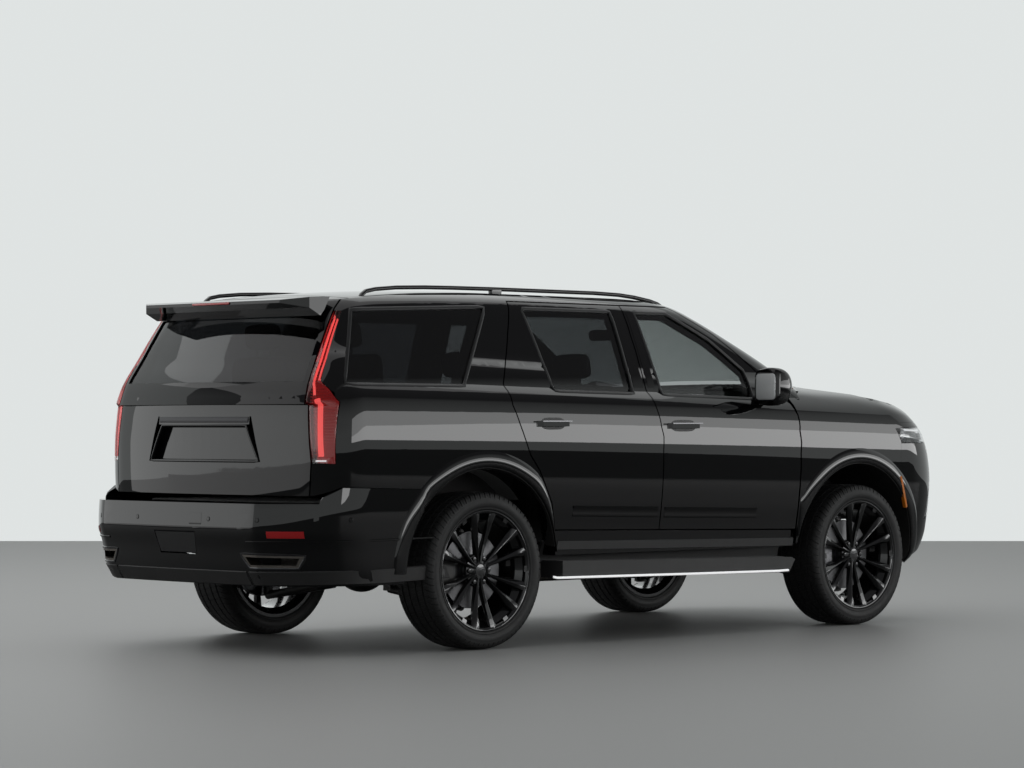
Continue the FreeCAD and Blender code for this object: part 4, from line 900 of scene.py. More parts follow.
@dataclass
class PanelMaker:
    """Turns a CAD panel into a smooth one: cut finely, laid on the smooth skin and given its normals."""

    level_skins: Sequence[LevelSkin]
    crown_skins: Sequence[CrownSkin] = ()
    spacing: float = 55.0
    upright_spacing: float = 32.0
    tolerance: float = 0.9
    face_slack: float = 1.6
    facing: float = 0.7
    across_factor: float = 1.6
    weld: float = 0.02
    blend_width: float = 55.0
    trim_depth: float = 46.0

    def read(self, mesh: bpy.types.Mesh) -> bmesh.types.BMesh:
        """The node's mesh with its seams joined.

        Args:
            mesh: the CAD node's mesh, in metres.

        Returns:
            A working mesh in millimetres.
        """
        work = bmesh.new()
        work.from_mesh(mesh)
        for vertex in work.verts:
            vertex.co *= 1 / MM
        bmesh.ops.remove_doubles(work, verts=work.verts, dist=self.weld)
        return work

    def distances(self, points: np.ndarray) -> tuple[np.ndarray, list[tuple[np.ndarray, np.ndarray]]]:
        """How far points are from each skin.

        Args:
            points: rows of x, y, z.

        Returns:
            A column of distances per skin, and the places in the level skins.
        """
        columns = []
        places = []
        for skin in self.level_skins:
            row, column, away = skin.locate(points)
            columns.append(away)
            places.append((row, column))
        for crown in self.crown_skins:
            columns.append(np.abs(points[:, 2] - crown.heights(points, False)))
        return np.stack(columns, axis=1), places

    def cut(self, work: bmesh.types.BMesh) -> None:
        """Cut the outer faces by a lattice of planes.

        Args:
            work: the working mesh.
        """
        middles = np.array([f.calc_center_median() for f in work.faces])
        away, _ = self.distances(middles)
        outer = away.min(axis=1) < self.tolerance * self.face_slack
        faces = [f for f, hit in zip(work.faces, outer) if hit]
        if not faces:
            return
        geometry = set(faces)
        for face in faces:
            geometry.update(face.edges)
            geometry.update(face.verts)
        corners = np.array([v.co for f in faces for v in f.verts])
        low, high = corners.min(axis=0), corners.max(axis=0)
        for axis, step in ((0, self.spacing), (2, self.upright_spacing),
                           (1, self.spacing * self.across_factor)):
            places = np.arange(math.ceil(low[axis] / step) * step, high[axis], step)
            normal = Vector([float(k == axis) for k in range(3)])
            for place in places:
                result = bmesh.ops.bisect_plane(work, geom=list(geometry), dist=0.01,
                                                plane_co=normal * float(place), plane_no=normal)
                geometry = set(result["geom"]) | set(result["geom_cut"])

    def smooth_places(self, points: np.ndarray) -> tuple[np.ndarray, np.ndarray, np.ndarray]:
        """Lay points on the smooth skin.

        Args:
            points: rows of x, y, z.

        Returns:
            The new points, a normal per skin and point, and the distances to the plain skins.
        """
        away, places = self.distances(points)
        sign = np.where(points[:, 1] < 0.0, -1.0, 1.0)
        placed = points.copy()
        normals = np.zeros((away.shape[1], len(points), 3))
        best = np.argmin(away, axis=1)
        on_skin = away.min(axis=1) < self.tolerance
        for k, skin in enumerate(self.level_skins):
            row, column = places[k]
            there, normals[k] = skin.place(row, column, sign)
            mine = on_skin & (best == k)
            placed[mine] = there[mine]
        base = len(self.level_skins)
        for k, crown in enumerate(self.crown_skins):
            normals[base + k] = crown.normals(points)
            mine = on_skin & (best == base + k)
            placed[mine, 2] = crown.heights(points, True)[mine]
        return placed, normals, away

    def build(self, name: str, source: bpy.types.Mesh) -> bpy.types.Mesh:
        """Make the smooth panel's mesh.

        Args:
            name: the mesh's name.
            source: the CAD node's mesh.

        Returns:
            The mesh in metres, with material 0 on the outer skin and the edges and 1 on the inner side.
        """
        work = self.read(source)
        self.cut(work)
        work.verts.ensure_lookup_table()
        points = np.array([v.co for v in work.verts])
        placed, normals, away = self.smooth_places(points)
        middles = np.array([f.calc_center_median() for f in work.faces])
        face_away, _ = self.distances(middles)
        nearest = np.argmin(face_away, axis=1)
        outer = face_away.min(axis=1) < self.tolerance * self.face_slack
        facing = np.array([f.normal for f in work.faces])
        loops = []
        for k, face in enumerate(work.faces):
            index = [v.index for v in face.verts]
            skin = nearest[k]
            chosen = normals[skin, index]
            flat = facing[k]
            faced = float(np.dot(chosen.mean(axis=0), flat))
            if outer[k] and abs(faced) > self.facing:
                side = 1.0 if faced > 0.0 else -1.0
                loops.extend(self.blended(chosen * side, normals, away, index, skin, side))
            else:
                outer[k] = False
                loops.extend([flat] * len(index))
            face.smooth = True
            depth = face_away[k].min()
            face.material_index = 0 if outer[k] or depth < self.trim_depth else 1
        for vertex, place in zip(work.verts, placed):
            vertex.co = Vector(place) * MM
        mesh = bpy.data.meshes.new(name)
        work.to_mesh(mesh)
        work.free()
        mesh.normals_split_custom_set([tuple(n) for n in loops])
        return mesh

    def blended(self, chosen: np.ndarray, normals: np.ndarray, away: np.ndarray, index: list[int], skin: int,
                side: float) -> np.ndarray:
        """Normals that turn softly from a level skin into the crown beside it.

        Args:
            chosen: the face's own normals.
            normals: all skins' normals.
            away: distances to all skins.
            index: the face's points.
            skin: the face's skin.
            side: 1 for an outer face and -1 for an inner one.

        Returns:
            One normal per point.
        """
        result = chosen.copy()
        levels = len(self.level_skins)
        others = range(levels, levels + len(self.crown_skins)) if skin < levels else range(levels)
        for other in others:
            reach = np.clip(1.0 - away[index, other] / self.blend_width, 0.0, 1.0)[:, None] * 0.5
            result = (1 - reach) * result + reach * normals[other, index] * side
        return result / np.linalg.norm(result, axis=1, keepdims=True)


@dataclass
class BodyShell:
    """All painted panels and the panes between them."""

    frame: dict
    outer: PanelMaker = field(default_factory=lambda: PanelMaker((LOWER, CABIN), (HOOD, ROOF)))
    bumper: PanelMaker = field(default_factory=lambda: PanelMaker((BUMPER, LOWER)))
    panes: PanelMaker = field(
        default_factory=lambda: PanelMaker((cabin_skin(9), cabin_skin(15)), tolerance=1.2))

    def panel(self, node: str, maker: PanelMaker, *finishes: AnyFinish) -> bpy.types.Object:
        """Replace one CAD panel by its smooth piece.

        Args:
            node: the CAD node.
            maker: the skin that it lies on.
            finishes: outer finish and inner finish.

        Returns:
            The piece.
        """
        source = self.frame["nodes"][node]
        mesh = maker.build(node + "_skin", source.data)
        mesh.materials.clear()
        piece = new_piece(node + "_skin", mesh, body_of(source)[0], *finishes)
        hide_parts(node)
        return piece

    def build(self) -> None:
        """Make every panel and pane."""
        for node in ("body_sides", "roof", "hood", "fenders", "front_bumper", "liftgate", "fuel_door",
                     "door_front_left", "door_front_right", "door_rear_left", "door_rear_right"):
            inner = LINING if node == "roof" else INNER_TRIM
            self.panel(node, self.outer, PAINT, inner)
            LOG.info("panel %s", node)
        self.panel("rear_bumper", self.bumper, PAINT, UNDERSIDE)
        for node in ("windscreen", "quarter_glass", "rear_glass", "glass_front_left", "glass_front_right",
                     "glass_rear_left", "glass_rear_right"):
            finish = {"windscreen": LIGHT_GLASS, "glass_front_left": SIDE_GLASS,
                      "glass_front_right": SIDE_GLASS}.get(node, TINTED)
            self.panel(node, self.panes, finish, finish)
            LOG.info("pane %s", node)


class Side(Enum):
    """Sides of the vehicle."""

    LEFT = 1.0
    RIGHT = -1.0

    @property
    def word(self) -> str:
        """The side's name in node names."""
        return self.name.lower()


# Road wheels


@dataclass
class RoadWheel:
    """Tyre with a cut tread and a rim with split spokes."""

    radius: float = 419.0
    half_width: float = 142.5
    bead: float = 308.0
    pitches: int = 70
    groove: float = 8.0
    grooves: Sequence[float] = (-78, -28, 28, 78)
    groove_half: float = 4.5
    lip: float = 133.0
    hub_recess: float = 48.0
    pairs: int = 6
    cap_radius: float = 37.0
    nut_circle: float = 70.0
    groove_edge: float = 0.6
    rib_middle: float = 25.0
    rib_slot: float = 3.5
    skew_reach: float = 280.0
    crown_fall: float = 2.0
    slot_skew: float = 1.6
    shoulder_width: float = 16.0
    shoulder_pull: float = 0.0015
    front_x: float = 1706.0
    rear_x: float = -1365.0
    track_half: float = 868.5

    def tread_profile(self) -> list[tuple[float, float, float, float]]:
        """Section of the tyre from the inner bead to the outer one.

        Returns:
            Rows of (across, radius, depth of a lug's slot there, skew of the slots there in pitches).
        """
        r, half = self.radius, self.half_width
        wall = [(half - 24, self.bead), (half - 20, self.bead + 6), (half - 13, self.bead + 14),
                (half - 5, self.bead + 21), (half - 4, self.bead + 27), (half - 7, self.bead + 30),
                (half - 2, self.bead + 40), (half - 0.2, self.bead + 54), (half - 0.5, self.bead + 66),
                (half - 1.5, self.bead + 68), (half - 2.2, r - 34)]
        shoulder = [(half - 3.5, r - 29, 5, 0), (half - 7.5, r - 19, 7, 0.05), (half - 14, r - 11, 8, 0.12),
                    (half - 24, r - 5.5, 7.5, 0.22), (half - 40, r - 2.2, 6.5, 0.34)]
        rows = [(-a, b, 0, 0) for a, b in wall] + [(-a, b, d, -s) for a, b, d, s in shoulder]
        crown = []
        for y in self.grooves:
            g = self.groove_half
            for at, drop in ((y - g - 1, 0), (y - g, self.groove_edge), (y - g + 1.5, self.groove),
                             (y + g - 1.5, self.groove), (y + g, self.groove_edge), (y + g + 1, 0),
                             (y + self.rib_middle, 0)):
                if drop > 0.0 or at < self.grooves[-1] + self.rib_middle:
                    top = r - self.crown_fall * (at / 100) ** 2
                    slot = 0.0 if drop > 0.0 else self.rib_slot
                    crown.append((at, top - drop, slot, at / self.skew_reach))
        return rows + crown + shoulder[::-1] + [(a, b, 0, 0) for a, b in reversed(wall)]

    def tyre_mesh(self) -> bpy.types.Mesh:
        """Tyre with grooves round it and slots across its ribs."""
        rows = self.tread_profile()
        steps = ((0, 0), (0.03, 1), (0.17, 1), (0.20, 0), (0.60, 0), (0.615, 0.35), (0.655, 0.35), (0.67, 0))
        points = []
        for n in range(self.pitches):
            for share, deep in steps:
                for y, r, slot, skew in rows:
                    a = 2 * math.pi * (n + share + skew * self.slot_skew) / self.pitches
                    radius = r - slot * deep
                    at_wall = abs(y) > self.half_width - self.shoulder_width
                    pull = 1 - self.shoulder_pull * slot * deep if at_wall else 1
                    points.append((radius * math.cos(a), y * pull, radius * math.sin(a)))
        faces = grid_faces(self.pitches * len(steps), len(rows), True, False)
        inner = [len(rows) * k for k in range(self.pitches * len(steps))]
        outer = [k + len(rows) - 1 for k in inner]
        faces += [(inner[k - 1], inner[k], outer[k], outer[k - 1]) for k in range(len(inner))]
        return mesh_from("tyre_tread", points, faces, angle=28)

    def spoke(self, lean: float) -> Solid:
        """One ridged spoke pointing up, leaning to one side of its pair.

        Args:
            lean: 1 or -1.

        Returns:
            Points and faces.
        """
        sections = []
        for r, centre, half, face, ridge, deep in (
                (34, 8.5, 7, 0, 3, 34), (78, 15, 8.5, 1, 5, 34),
                (130, 26, 11.5, 6.5, 6.5, 31), (190, 40, 16.5, 15.5, 7.5, 28),
                (250, 54.5, 22.5, 28.5, 7, 25), (286, 62.5, 27, 38, 4.5, 22),
                (306, 67, 28.5, 42, 1.5, 20)):
            y = self.lip - self.hub_recess + face
            c = lean * centre
            inner = -lean * half
            outer = lean * half
            sections.append([
                (c + inner * 0.82, y - deep, r), (c + inner, y - 8, r), (c + inner * 0.86, y - 1.5, r),
                (c + inner * 0.12, y + ridge, r), (c + outer * 0.08, y + ridge - 0.6, r),
                (c + outer * 0.84, y - 5, r), (c + outer, y - 11, r), (c + outer * 0.8, y - deep, r)])
        return bar_loft(sections)

    def rim_mesh(self) -> bpy.types.Mesh:
        """Rim: barrel, lip, spokes, hub, plain cap and nuts."""
        lip, seat = self.lip, self.bead
        barrel = [(lip, 321), (lip + 0.8, 318), (lip, 314), (lip - 5, 311.5), (lip - 7.5, 306.5),
                  (lip - 12, 303), (lip - 30, 299), (lip - 52, 278), (lip - 60, 271), (-40, 262),
                  (-lip + 30, 268), (-lip + 8, 296), (-lip, 303), (-lip, 321), (-lip + 9, 322),
                  (-lip + 12, seat - 0.5), (0, seat - 8), (lip - 12, seat - 0.5), (lip - 9, 322)]
        parts = [lathe(barrel, 144)]
        face = lip - self.hub_recess
        hub = [(face - 44, 0.5), (face - 44, 88), (face - 26, 90), (face - 15, 86), (face - 9, 60),
               (face - 3, 44), (face + 1.5, 41.5), (face + 1.5, 0.5)]
        parts.append(lathe(hub, 72))
        cap = [(face + 1, 0.5), (face + 1, self.cap_radius), (face + 4, self.cap_radius),
               (face + 6, self.cap_radius - 2), (face + 5, self.cap_radius - 4.5),
               (face + 7, 14), (face + 7.4, 0.5)]
        parts.append(lathe(cap, 60))
        for n in range(self.pairs):
            turn = 2 * math.pi * n / self.pairs
            parts += [turned_round(self.spoke(lean), turn) for lean in (-1, 1)]
            between = turn + math.pi / self.pairs
            parts += [turned_round(self.web(), between), turned_round(self.nut(face), between)]
        return mesh_from("rim_split_spokes", *merged(parts), angle=24)

    def web(self) -> Solid:
        """Short bridge at the lip between two pairs, pointing up."""
        y = self.lip
        ring = [(-16, y - 20, 291), (16, y - 20, 291), (15, y - 9, 289), (-15, y - 9, 289)]
        far = [(-17, y - 20, 309), (17, y - 20, 309), (17, y - 6, 309), (-17, y - 6, 309)]
        return ring + far, grid_faces(2, 4, False, True) + [(0, 1, 2, 3), (7, 6, 5, 4)]

    def nut(self, face: float) -> Solid:
        """Wheel nut in its pocket, above the wheel's centre.

        Args:
            face: how far out the hub's face is.

        Returns:
            Points and faces.
        """
        levels = ((face - 18, 13.5), (face - 4, 13.5), (face - 1.5, 11), (face - 0.8, 5))
        return bar_loft([round_ring(6, lambda c, s, y=y, r=r: (r * c, y, self.nut_circle + r * s))
                         for y, r in levels])

    def disc_mesh(self) -> bpy.types.Mesh:
        """Vented brake disc and its hat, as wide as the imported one."""
        low, high = -14, 16
        rings = [(low, 118), (low, 204.5), (low + 9, 205), (low + 9, 196), (high - 9, 196),
                 (high - 9, 205), (high, 204.5), (high, 118), (high + 2, 84), (high + 24, 80),
                 (high + 24, 60), (low, 60)]
        return mesh_from("brake_disc", *lathe(rings, 90), angle=30)

    def build(self) -> None:
        """Make the four wheels."""
        # The disc's finish is darker than bare steel: painted shade behind the spokes.
        kinds = (("tyre", self.tyre_mesh(), RUBBER), ("rim", self.rim_mesh(), RIM),
                 ("disc", self.disc_mesh(), DISC_PAINTED_SHADE))
        for side in Side:
            for end, x in (("front", self.front_x), ("rear", self.rear_x)):
                for kind, mesh, finish in kinds:
                    name = f"{kind}_{end}_{side.word}"
                    piece = new_piece(f"{name}_piece", mesh, f"wheel_{end}_{side.word}", finish,
                                      at=(x, side.value * self.track_half, self.radius),
                                      turn=0 if side is Side.LEFT else math.pi)
                    if kind != "disc":
                        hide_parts(name)
        LOG.info("wheels")


def round_ring(count: int, place: Callable[[float, float], Sequence[float]]) -> list[Sequence[float]]:
    """Points round a circle.

    Args:
        count: how many.
        place: gives a point from a cosine and a sine.

    Returns:
        The points.
    """
    angles = [2 * math.pi * k / count for k in range(count)]
    return [place(math.cos(a), math.sin(a)) for a in angles]


def turned_round(solid: Solid, angle: float) -> Solid:
    """A solid turned about the wheel's own axis by radians."""
    c, s = math.cos(angle), math.sin(angle)
    return [(x * c + z * s, y, -x * s + z * c) for x, y, z in solid[0]], solid[1]


# Pieces laid on the hull


class Face(Enum):
    """Ways to name a place on the hull."""

    SIDE = "x along and z up, seen from the side"
    TAIL = "y across and z up on the tail, on round the corner along the side"
    NOSE = "y across and z up on the nose, on round the corner along the side"
    BUMPER = "y across and z up on the rear bumper, on round the corner along the side"


@dataclass(frozen=True)
class Split:
    """Heights and places where one skin takes over from another."""

    cabin_from: float = 1300.0
    bumper_ahead: float = -1803.0
    bumper_top: float = 862.0
    soft: float = 30.0


SPLIT = Split()
LAID_ANGLE = 50
SOFT_ANGLE = 60


def on_hull(face: Face, u: np.ndarray, z: np.ndarray, side: float) -> Skinned:
    """Points and outward normals of the hull.

    Args:
        face: how the places are named.
        u: first numbers of the places.
        z: heights.
        side: 1 for left, -1 for right, or 0 where u has its own sign.

    Returns:
        Points and normals.
    """
    if face is Face.SIDE:
        low, low_n = LOWER.from_side(u, z, side)
        high, high_n = CABIN.from_side(u, z, side)
        share = np.clip((np.abs(high[:, 1]) - np.abs(low[:, 1])) / SPLIT.soft + 0.5, 0.0, 1.0)
        share = np.where(z > SPLIT.cabin_from, share, 0.0)[:, None]
        points = np.where(share > 0.5, high, low)
        normals = (1 - share) * low_n + share * high_n
        back, back_n = BUMPER.from_side(u, z, side)
        at_bumper = ((u < SPLIT.bumper_ahead) & (z < SPLIT.bumper_top))[:, None]
        points, normals = np.where(at_bumper, back, points), np.where(at_bumper, back_n, normals)
    elif face is Face.TAIL:
        low, low_n = LOWER.from_end(u, z, True, side)
        high, high_n = CABIN.from_end(u, z, True, side)
        share = np.clip((low[:, 0] - high[:, 0]) / SPLIT.soft + 0.5, 0.0, 1.0)
        share = np.where(z > SPLIT.cabin_from, share, 0.0)[:, None]
        points = np.where(share > 0.5, high, low)
        normals = (1 - share) * low_n + share * high_n
    elif face is Face.NOSE:
        points, normals = LOWER.from_end(u, z, False, side)
    else:
        points, normals = BUMPER.from_end(u, z, True, side)
    return points, normals / np.linalg.norm(normals, axis=1, keepdims=True)


def sampled(path: Sequence[Point2], step: float, closed: bool = False) -> np.ndarray:
    """Points along a polyline, its corners among them.

    Args:
        path: the corners.
        step: the widest spacing.
        closed: whether it goes back to its start.

    Returns:
        An array of points.
    """
    corners = list(path) + ([path[0]] if closed else [])
    points = []
    for a, b in zip(corners, corners[1:]):
        count = max(1, math.ceil(math.dist(a, b) / step))
        points.extend((a[0] + (b[0] - a[0]) * k / count,
                       a[1] + (b[1] - a[1]) * k / count) for k in range(count))
    if not closed:
        points.append(corners[-1])
    return np.array(points)


def ribbon(path: Sequence[Point2], section: Sequence[Point2], step: float = 25.0,
           closed: bool = False) -> np.ndarray:
    """Rows along a path, each with points across it.

    Args:
        path: corners of the path.
        section: (how far to the left of the path, lift off the skin) of each column.
        step: the widest spacing.
        closed: whether the path goes back to its start.

    Returns:
        An array of rows, columns and (u, z, lift).
    """
    line = sampled(path, step, closed)
    if closed:
        along = np.roll(line, -1, axis=0) - np.roll(line, 1, axis=0)
    else:
        along = np.gradient(line, axis=0)
    across = np.stack([-along[:, 1], along[:, 0]], axis=1)
    across /= np.linalg.norm(across, axis=1, keepdims=True)
    rows = [[(*(p + n * a), lift) for a, lift in section] for p, n in zip(line, across)]
    return np.array(rows)


def span(low: Sequence[Point2], high: Sequence[Point2], section: Sequence[Point2]) -> np.ndarray:
    """Rows from the points of one line to those of another.

    Args:
        low: the first line's points.
        high: as many points of the second line.
        section: (share of the way across, lift off the skin) of each column.

    Returns:
        An array of rows, columns and (u, z, lift).
    """
    return np.array([[(a[0] + (b[0] - a[0]) * s, a[1] + (b[1] - a[1]) * s, lift) for s, lift in section]
                     for a, b in zip(low, high)])


def patch(low: tuple[Point2, Point2], high: tuple[Point2, Point2], count: int, section: Sequence[Point2]
          ) -> np.ndarray:
    """Rows between two straight lines, each given by its ends and read at as many places."""
    return span(np.linspace(*low, count), np.linspace(*high, count), section)


def slab(face: Face, grid: np.ndarray, thickness: float, side: float, closed: bool = False) -> Solid:
    """Closed thin solid laid on the hull.

    Args:
        face: how the grid's places are named.
        grid: rows, columns and (u, z, lift).
        thickness: how thick it is.
        side: 1 for left, -1 for right, or 0 where u has its own sign.
        closed: whether the last row joins the first.

    Returns:
        Points and faces.
    """
    rows, columns = grid.shape[:2]
    flat = grid.reshape(-1, 3)
    there, normal = on_hull(face, flat[:, 0], flat[:, 1], side)
    top = there + normal * flat[:, 2:3]
    points = [tuple(p) for p in np.concatenate([top, top - normal * thickness])]
    count = rows * columns
    faces = grid_faces(rows, columns, closed)
    faces += [tuple(count + k for k in reversed(f)) for f in faces]
    last = columns - 1
    if closed:
        rims = [[i * columns for i in range(rows)], [i * columns + last for i in range(rows)]]
    else:
        rims = [[*range(columns), *(i * columns + last for i in range(1, rows)),
                 *((rows - 1) * columns + j for j in range(last - 1, -1, -1)),
                 *(i * columns for i in range(rows - 2, 0, -1))]]
    for rim in rims:
        faces += [(rim[k - 1], rim[k], count + rim[k], count + rim[k - 1]) for k in range(len(rim))]
    return points, faces


@dataclass(frozen=True)
class Hull:
    """One face of the hull, to lay pieces on: of one side, or of both where no side is given."""

    face: Face
    side: Side | None = None

    @property
    def sign(self) -> float:
        """1 for left, -1 for right, or 0 where the places have their own sign."""
        return self.side.value if self.side else 0

    def lay(self, name: str, finish: AnyFinish, grid: np.ndarray, thickness: float, closed: bool = False,
            body: str = "chassis") -> bpy.types.Object:
        """Lay a piece on the hull.

        Args:
            name: its name, to which the side is added.
            finish: its finish.
            grid: rows, columns and (u, z, lift).
            thickness: how thick it is.
            closed: whether the last row joins the first.
            body: the body that it moves with.

        Returns:
            The piece.
        """
        full_name = f"{name}_{self.side.word}" if self.side else name
        solid = slab(self.face, grid, thickness, self.sign, closed)
        return solid_piece(full_name, solid, body, finish, LAID_ANGLE)


def rounded_ring(width: float, height: float, corner: float, inset: float = 0.0) -> list[Point2]:
    """Outline of a rectangle with rounded corners, about its middle.

    Args:
        width: full width.
        height: full height.
        corner: corner radius.
        inset: how far the outline is drawn in.

    Returns:
        The points.
    """
    ring = []
    for k, (sy, sz) in enumerate(((1, 1), (-1, 1), (-1, -1), (1, -1))):
        for m in range(6):
            a = math.pi / 2 * (k + m / 5)
            r = corner - inset
            ring.append((sy * (width / 2 - corner) + r * math.cos(a),
                         sz * (height / 2 - corner) + r * math.sin(a)))
    return ring


def tile(width: float, height: float, depth: float, corner: float, bevel: float = 1.5) -> Solid:
    """Flat block with rounded corners and a soft front edge, its front towards +X and its middle at zero.

    Args:
        width: across, along Y.
        height: along Z.
        depth: along X.
        corner: corner radius.
        bevel: how soft the front edge is.

    Returns:
        Points and faces.
    """
    sections = [[(x, y, z) for y, z in rounded_ring(width, height, corner, inset)] for x, inset in (
        (0, 0), (depth - bevel, 0), (depth - 0.3 * bevel, 0.3 * bevel), (depth, bevel))]
    return bar_loft(sections)


def placed(solid: Solid, at: Sequence[float], turn: Sequence[float] = (0.0, 0.0, 0.0)) -> Solid:
    """A solid turned about X, Y and Z by degrees and then moved.

    Args:
        solid: points and faces.
        at: where its origin goes.
        turn: degrees about each axis.

    Returns:
        The moved points and the faces.
    """
    move = Matrix.Translation(Vector(at))
    for axis, degrees in zip("ZYX", reversed(turn)):
        move = move @ Matrix.Rotation(math.radians(degrees), 4, axis)
    return [tuple(move @ Vector(p)) for p in solid[0]], solid[1]


def aimed(solid: Solid, at: np.ndarray, normal: np.ndarray) -> Solid:
    """A solid whose +X is turned to a normal, with Z kept up, and moved to a place.

    Args:
        solid: points and faces.
        at: where its origin goes.
        normal: the direction of its +X.

    Returns:
        The moved points and the faces.
    """
    out = Vector(normal).normalized()
    across = Vector((0, 0, 1)).cross(out).normalized()
    up = out.cross(across)
    place = Vector(at)
    return [tuple(place + out * p[0] + across * p[1] + up * p[2]) for p in solid[0]], solid[1]


# Fittings


FORWARDS = (0, 0, 0)
REARWARDS = (0, 0, 180)


def wheel_line(centre_x: float, radius: Callable[[float], float], angles: np.ndarray) -> list[Point2]:
    """Points round a wheel's centre, in the side view.

    Args:
        centre_x: the wheel's place.
        radius: how far out, by degrees.
        angles: degrees from straight ahead, upwards.

    Returns:
        Points of x and z.
    """
    points = []
    for a in angles:
        r = radius(float(a))
        points.append((centre_x + r * math.cos(math.radians(a)),
                       RoadWheel.radius + r * math.sin(math.radians(a))))
    return points


@dataclass
class SideFittings:
    """Arch flares, mouldings, window surrounds, pillar covers, handle cups and markers of both sides."""

    arch_radius: float = 549.0
    flare_reach: float = 636.0
    door_edge: float = 1165.0
    cup_half_height: float = 33.0
    lip_depth: float = 110.0
    flare: Sequence[Point2] = ((0, -12), (0, 6.5), (0.05, 9.5), (0.2, 11.5), (0.5, 11), (0.75, 8), (0.9, 4),
                               (1, -0.5))
    front_window: Sequence[Point2] = ((-11, 1820), (48, 1372), (809, 1352), (773, 1505),
                                      (543, 1676), (301, 1794), (250, 1820))
    rear_window: Sequence[Point2] = ((-890, 1820), (-898, 1812), (-800, 1386), (-199, 1376), (-221, 1820))
    quarter_window: Sequence[Point2] = ((-2104, 1788), (-2262, 1412), (-1466, 1410), (-1190, 1822))

    def flare_grid(self, front: bool) -> np.ndarray:
        """Grid of one wheel arch flare.

        Args:
            front: True for the front arch.

        Returns:
            Rows, columns and (x, z, lift).
        """
        if front:
            angles = np.arange(-6, 171, 3)
            door = RoadWheel.front_x - self.door_edge

            def outer(a: float) -> float:
                wall = door / max(math.cos(math.radians(180 - a)), 0.2) if a > 90 else math.inf
                return min(max(wall, self.arch_radius + 5), self.flare_reach)
        else:
            angles = np.arange(9, 182, 3)

            def outer(a: float) -> float:
                return float(np.interp(a, (0, 21, 35.7, 53.6, 60), (556, 556, 592, 634, self.flare_reach)))
        x = RoadWheel.front_x if front else RoadWheel.rear_x
        return span(wheel_line(x, lambda a: self.arch_radius, angles), wheel_line(x, outer, angles),
                    self.flare)

    def lip_grid(self, front: bool) -> np.ndarray:
        """Grid of the hoop inside one wheel arch.

        Args:
            front: True for the front arch.

        Returns:
            Rows, columns and (x, z, lift).
        """
        angles = np.arange(-6, 168, 3) if front else np.arange(12, 180, 3)
        x = RoadWheel.front_x if front else RoadWheel.rear_x
        inner, outer = self.arch_radius - 5, self.arch_radius + 1
        return span(wheel_line(x, lambda a: inner, angles), wheel_line(x, lambda a: outer, angles),
                    [(0, 2), (1, 2)])

    def build(self) -> None:
        """Make the fittings of both sides."""
        for side in Side:
            hull = Hull(Face.SIDE, side)
            for front in (True, False):
                end = "front" if front else "rear"
                hull.lay(f"arch_flare_{end}", PAINT, self.flare_grid(front), 14)
                hull.lay(f"arch_lip_{end}", UNDERSIDE, self.lip_grid(front), self.lip_depth)
            self.mouldings(hull)
            self.windows(hull)
            self.handles(hull)
            marker = ribbon([(2096, 880), (2168, 694)], [(-10, -2), (-8, 12.5), (8, 12.5), (10, -2)])
            hull.lay("side_marker", AMBER_LENS, marker, 6)
        LOG.info("side fittings")

    def mouldings(self, hull: Hull) -> None:
        """Long inserts low on the doors.

        Args:
            hull: the hull's one side.
        """
        word = hull.side.word
        section = [(-30, -2.5), (-28, 1), (-22, 2.5), (-10, 0.5), (12, 0.5), (22, 4), (28, 5), (31, -2.5)]
        for body, path in ((f"door_front_{word}", [(6, 703), (780, 684)]),
                           (f"door_rear_{word}", [(-716, 723), (-52, 705)])):
            solid_piece(f"{body}_moulding", slab(Face.SIDE, ribbon(path, section, 40), 5, hull.sign), body,
                        GLOSS, LAID_ANGLE)
        lower = [(-26, -3), (-24, 2), (20, 3), (24, -3)]
        sill = [(-812, 540), (1130, 512)]
        hull.lay("sill_moulding", GRAINED, ribbon(sill, lower, 60), 6)

    def windows(self, hull: Hull) -> None:
        """Surrounds of the side windows and the covers of the centre pillar.

        Args:
            hull: the hull's one side.
        """
        word = hull.side.word
        section = [(-1, -9), (0, 1), (3, 3), (14, 3), (18, 0.5), (18, -2)]
        outward = [(-a, lift) for a, lift in section]
        for body, name, path in ((f"door_front_{word}", "front", self.front_window),
                                 (f"door_rear_{word}", "rear", self.rear_window),
                                 ("chassis", "quarter", self.quarter_window)):
            hull.lay(f"window_surround_{name}", SATIN, ribbon(path, outward, 30, True), 4, closed=True,
                     body=body)
        cover = [(0, -3), (0, 1.2), (0.5, 1.6), (1, 1.2), (1, -3)]
        for name, near, far in (("front", [(-32, 1820), (-6, 1400)], [(-86, 1820), (-60, 1400)]),
                                ("rear", [(-126, 1820), (-98, 1400)], [(-200, 1820), (-176, 1400)])):
            ends = span(near, far, cover)
            rows = np.array([ends[0] + (ends[1] - ends[0]) * t for t in np.linspace(0, 1, 12)])
            hull.lay(f"pillar_cover_{name}", GLOSS, rows, 4, body=f"door_{name}_{word}")

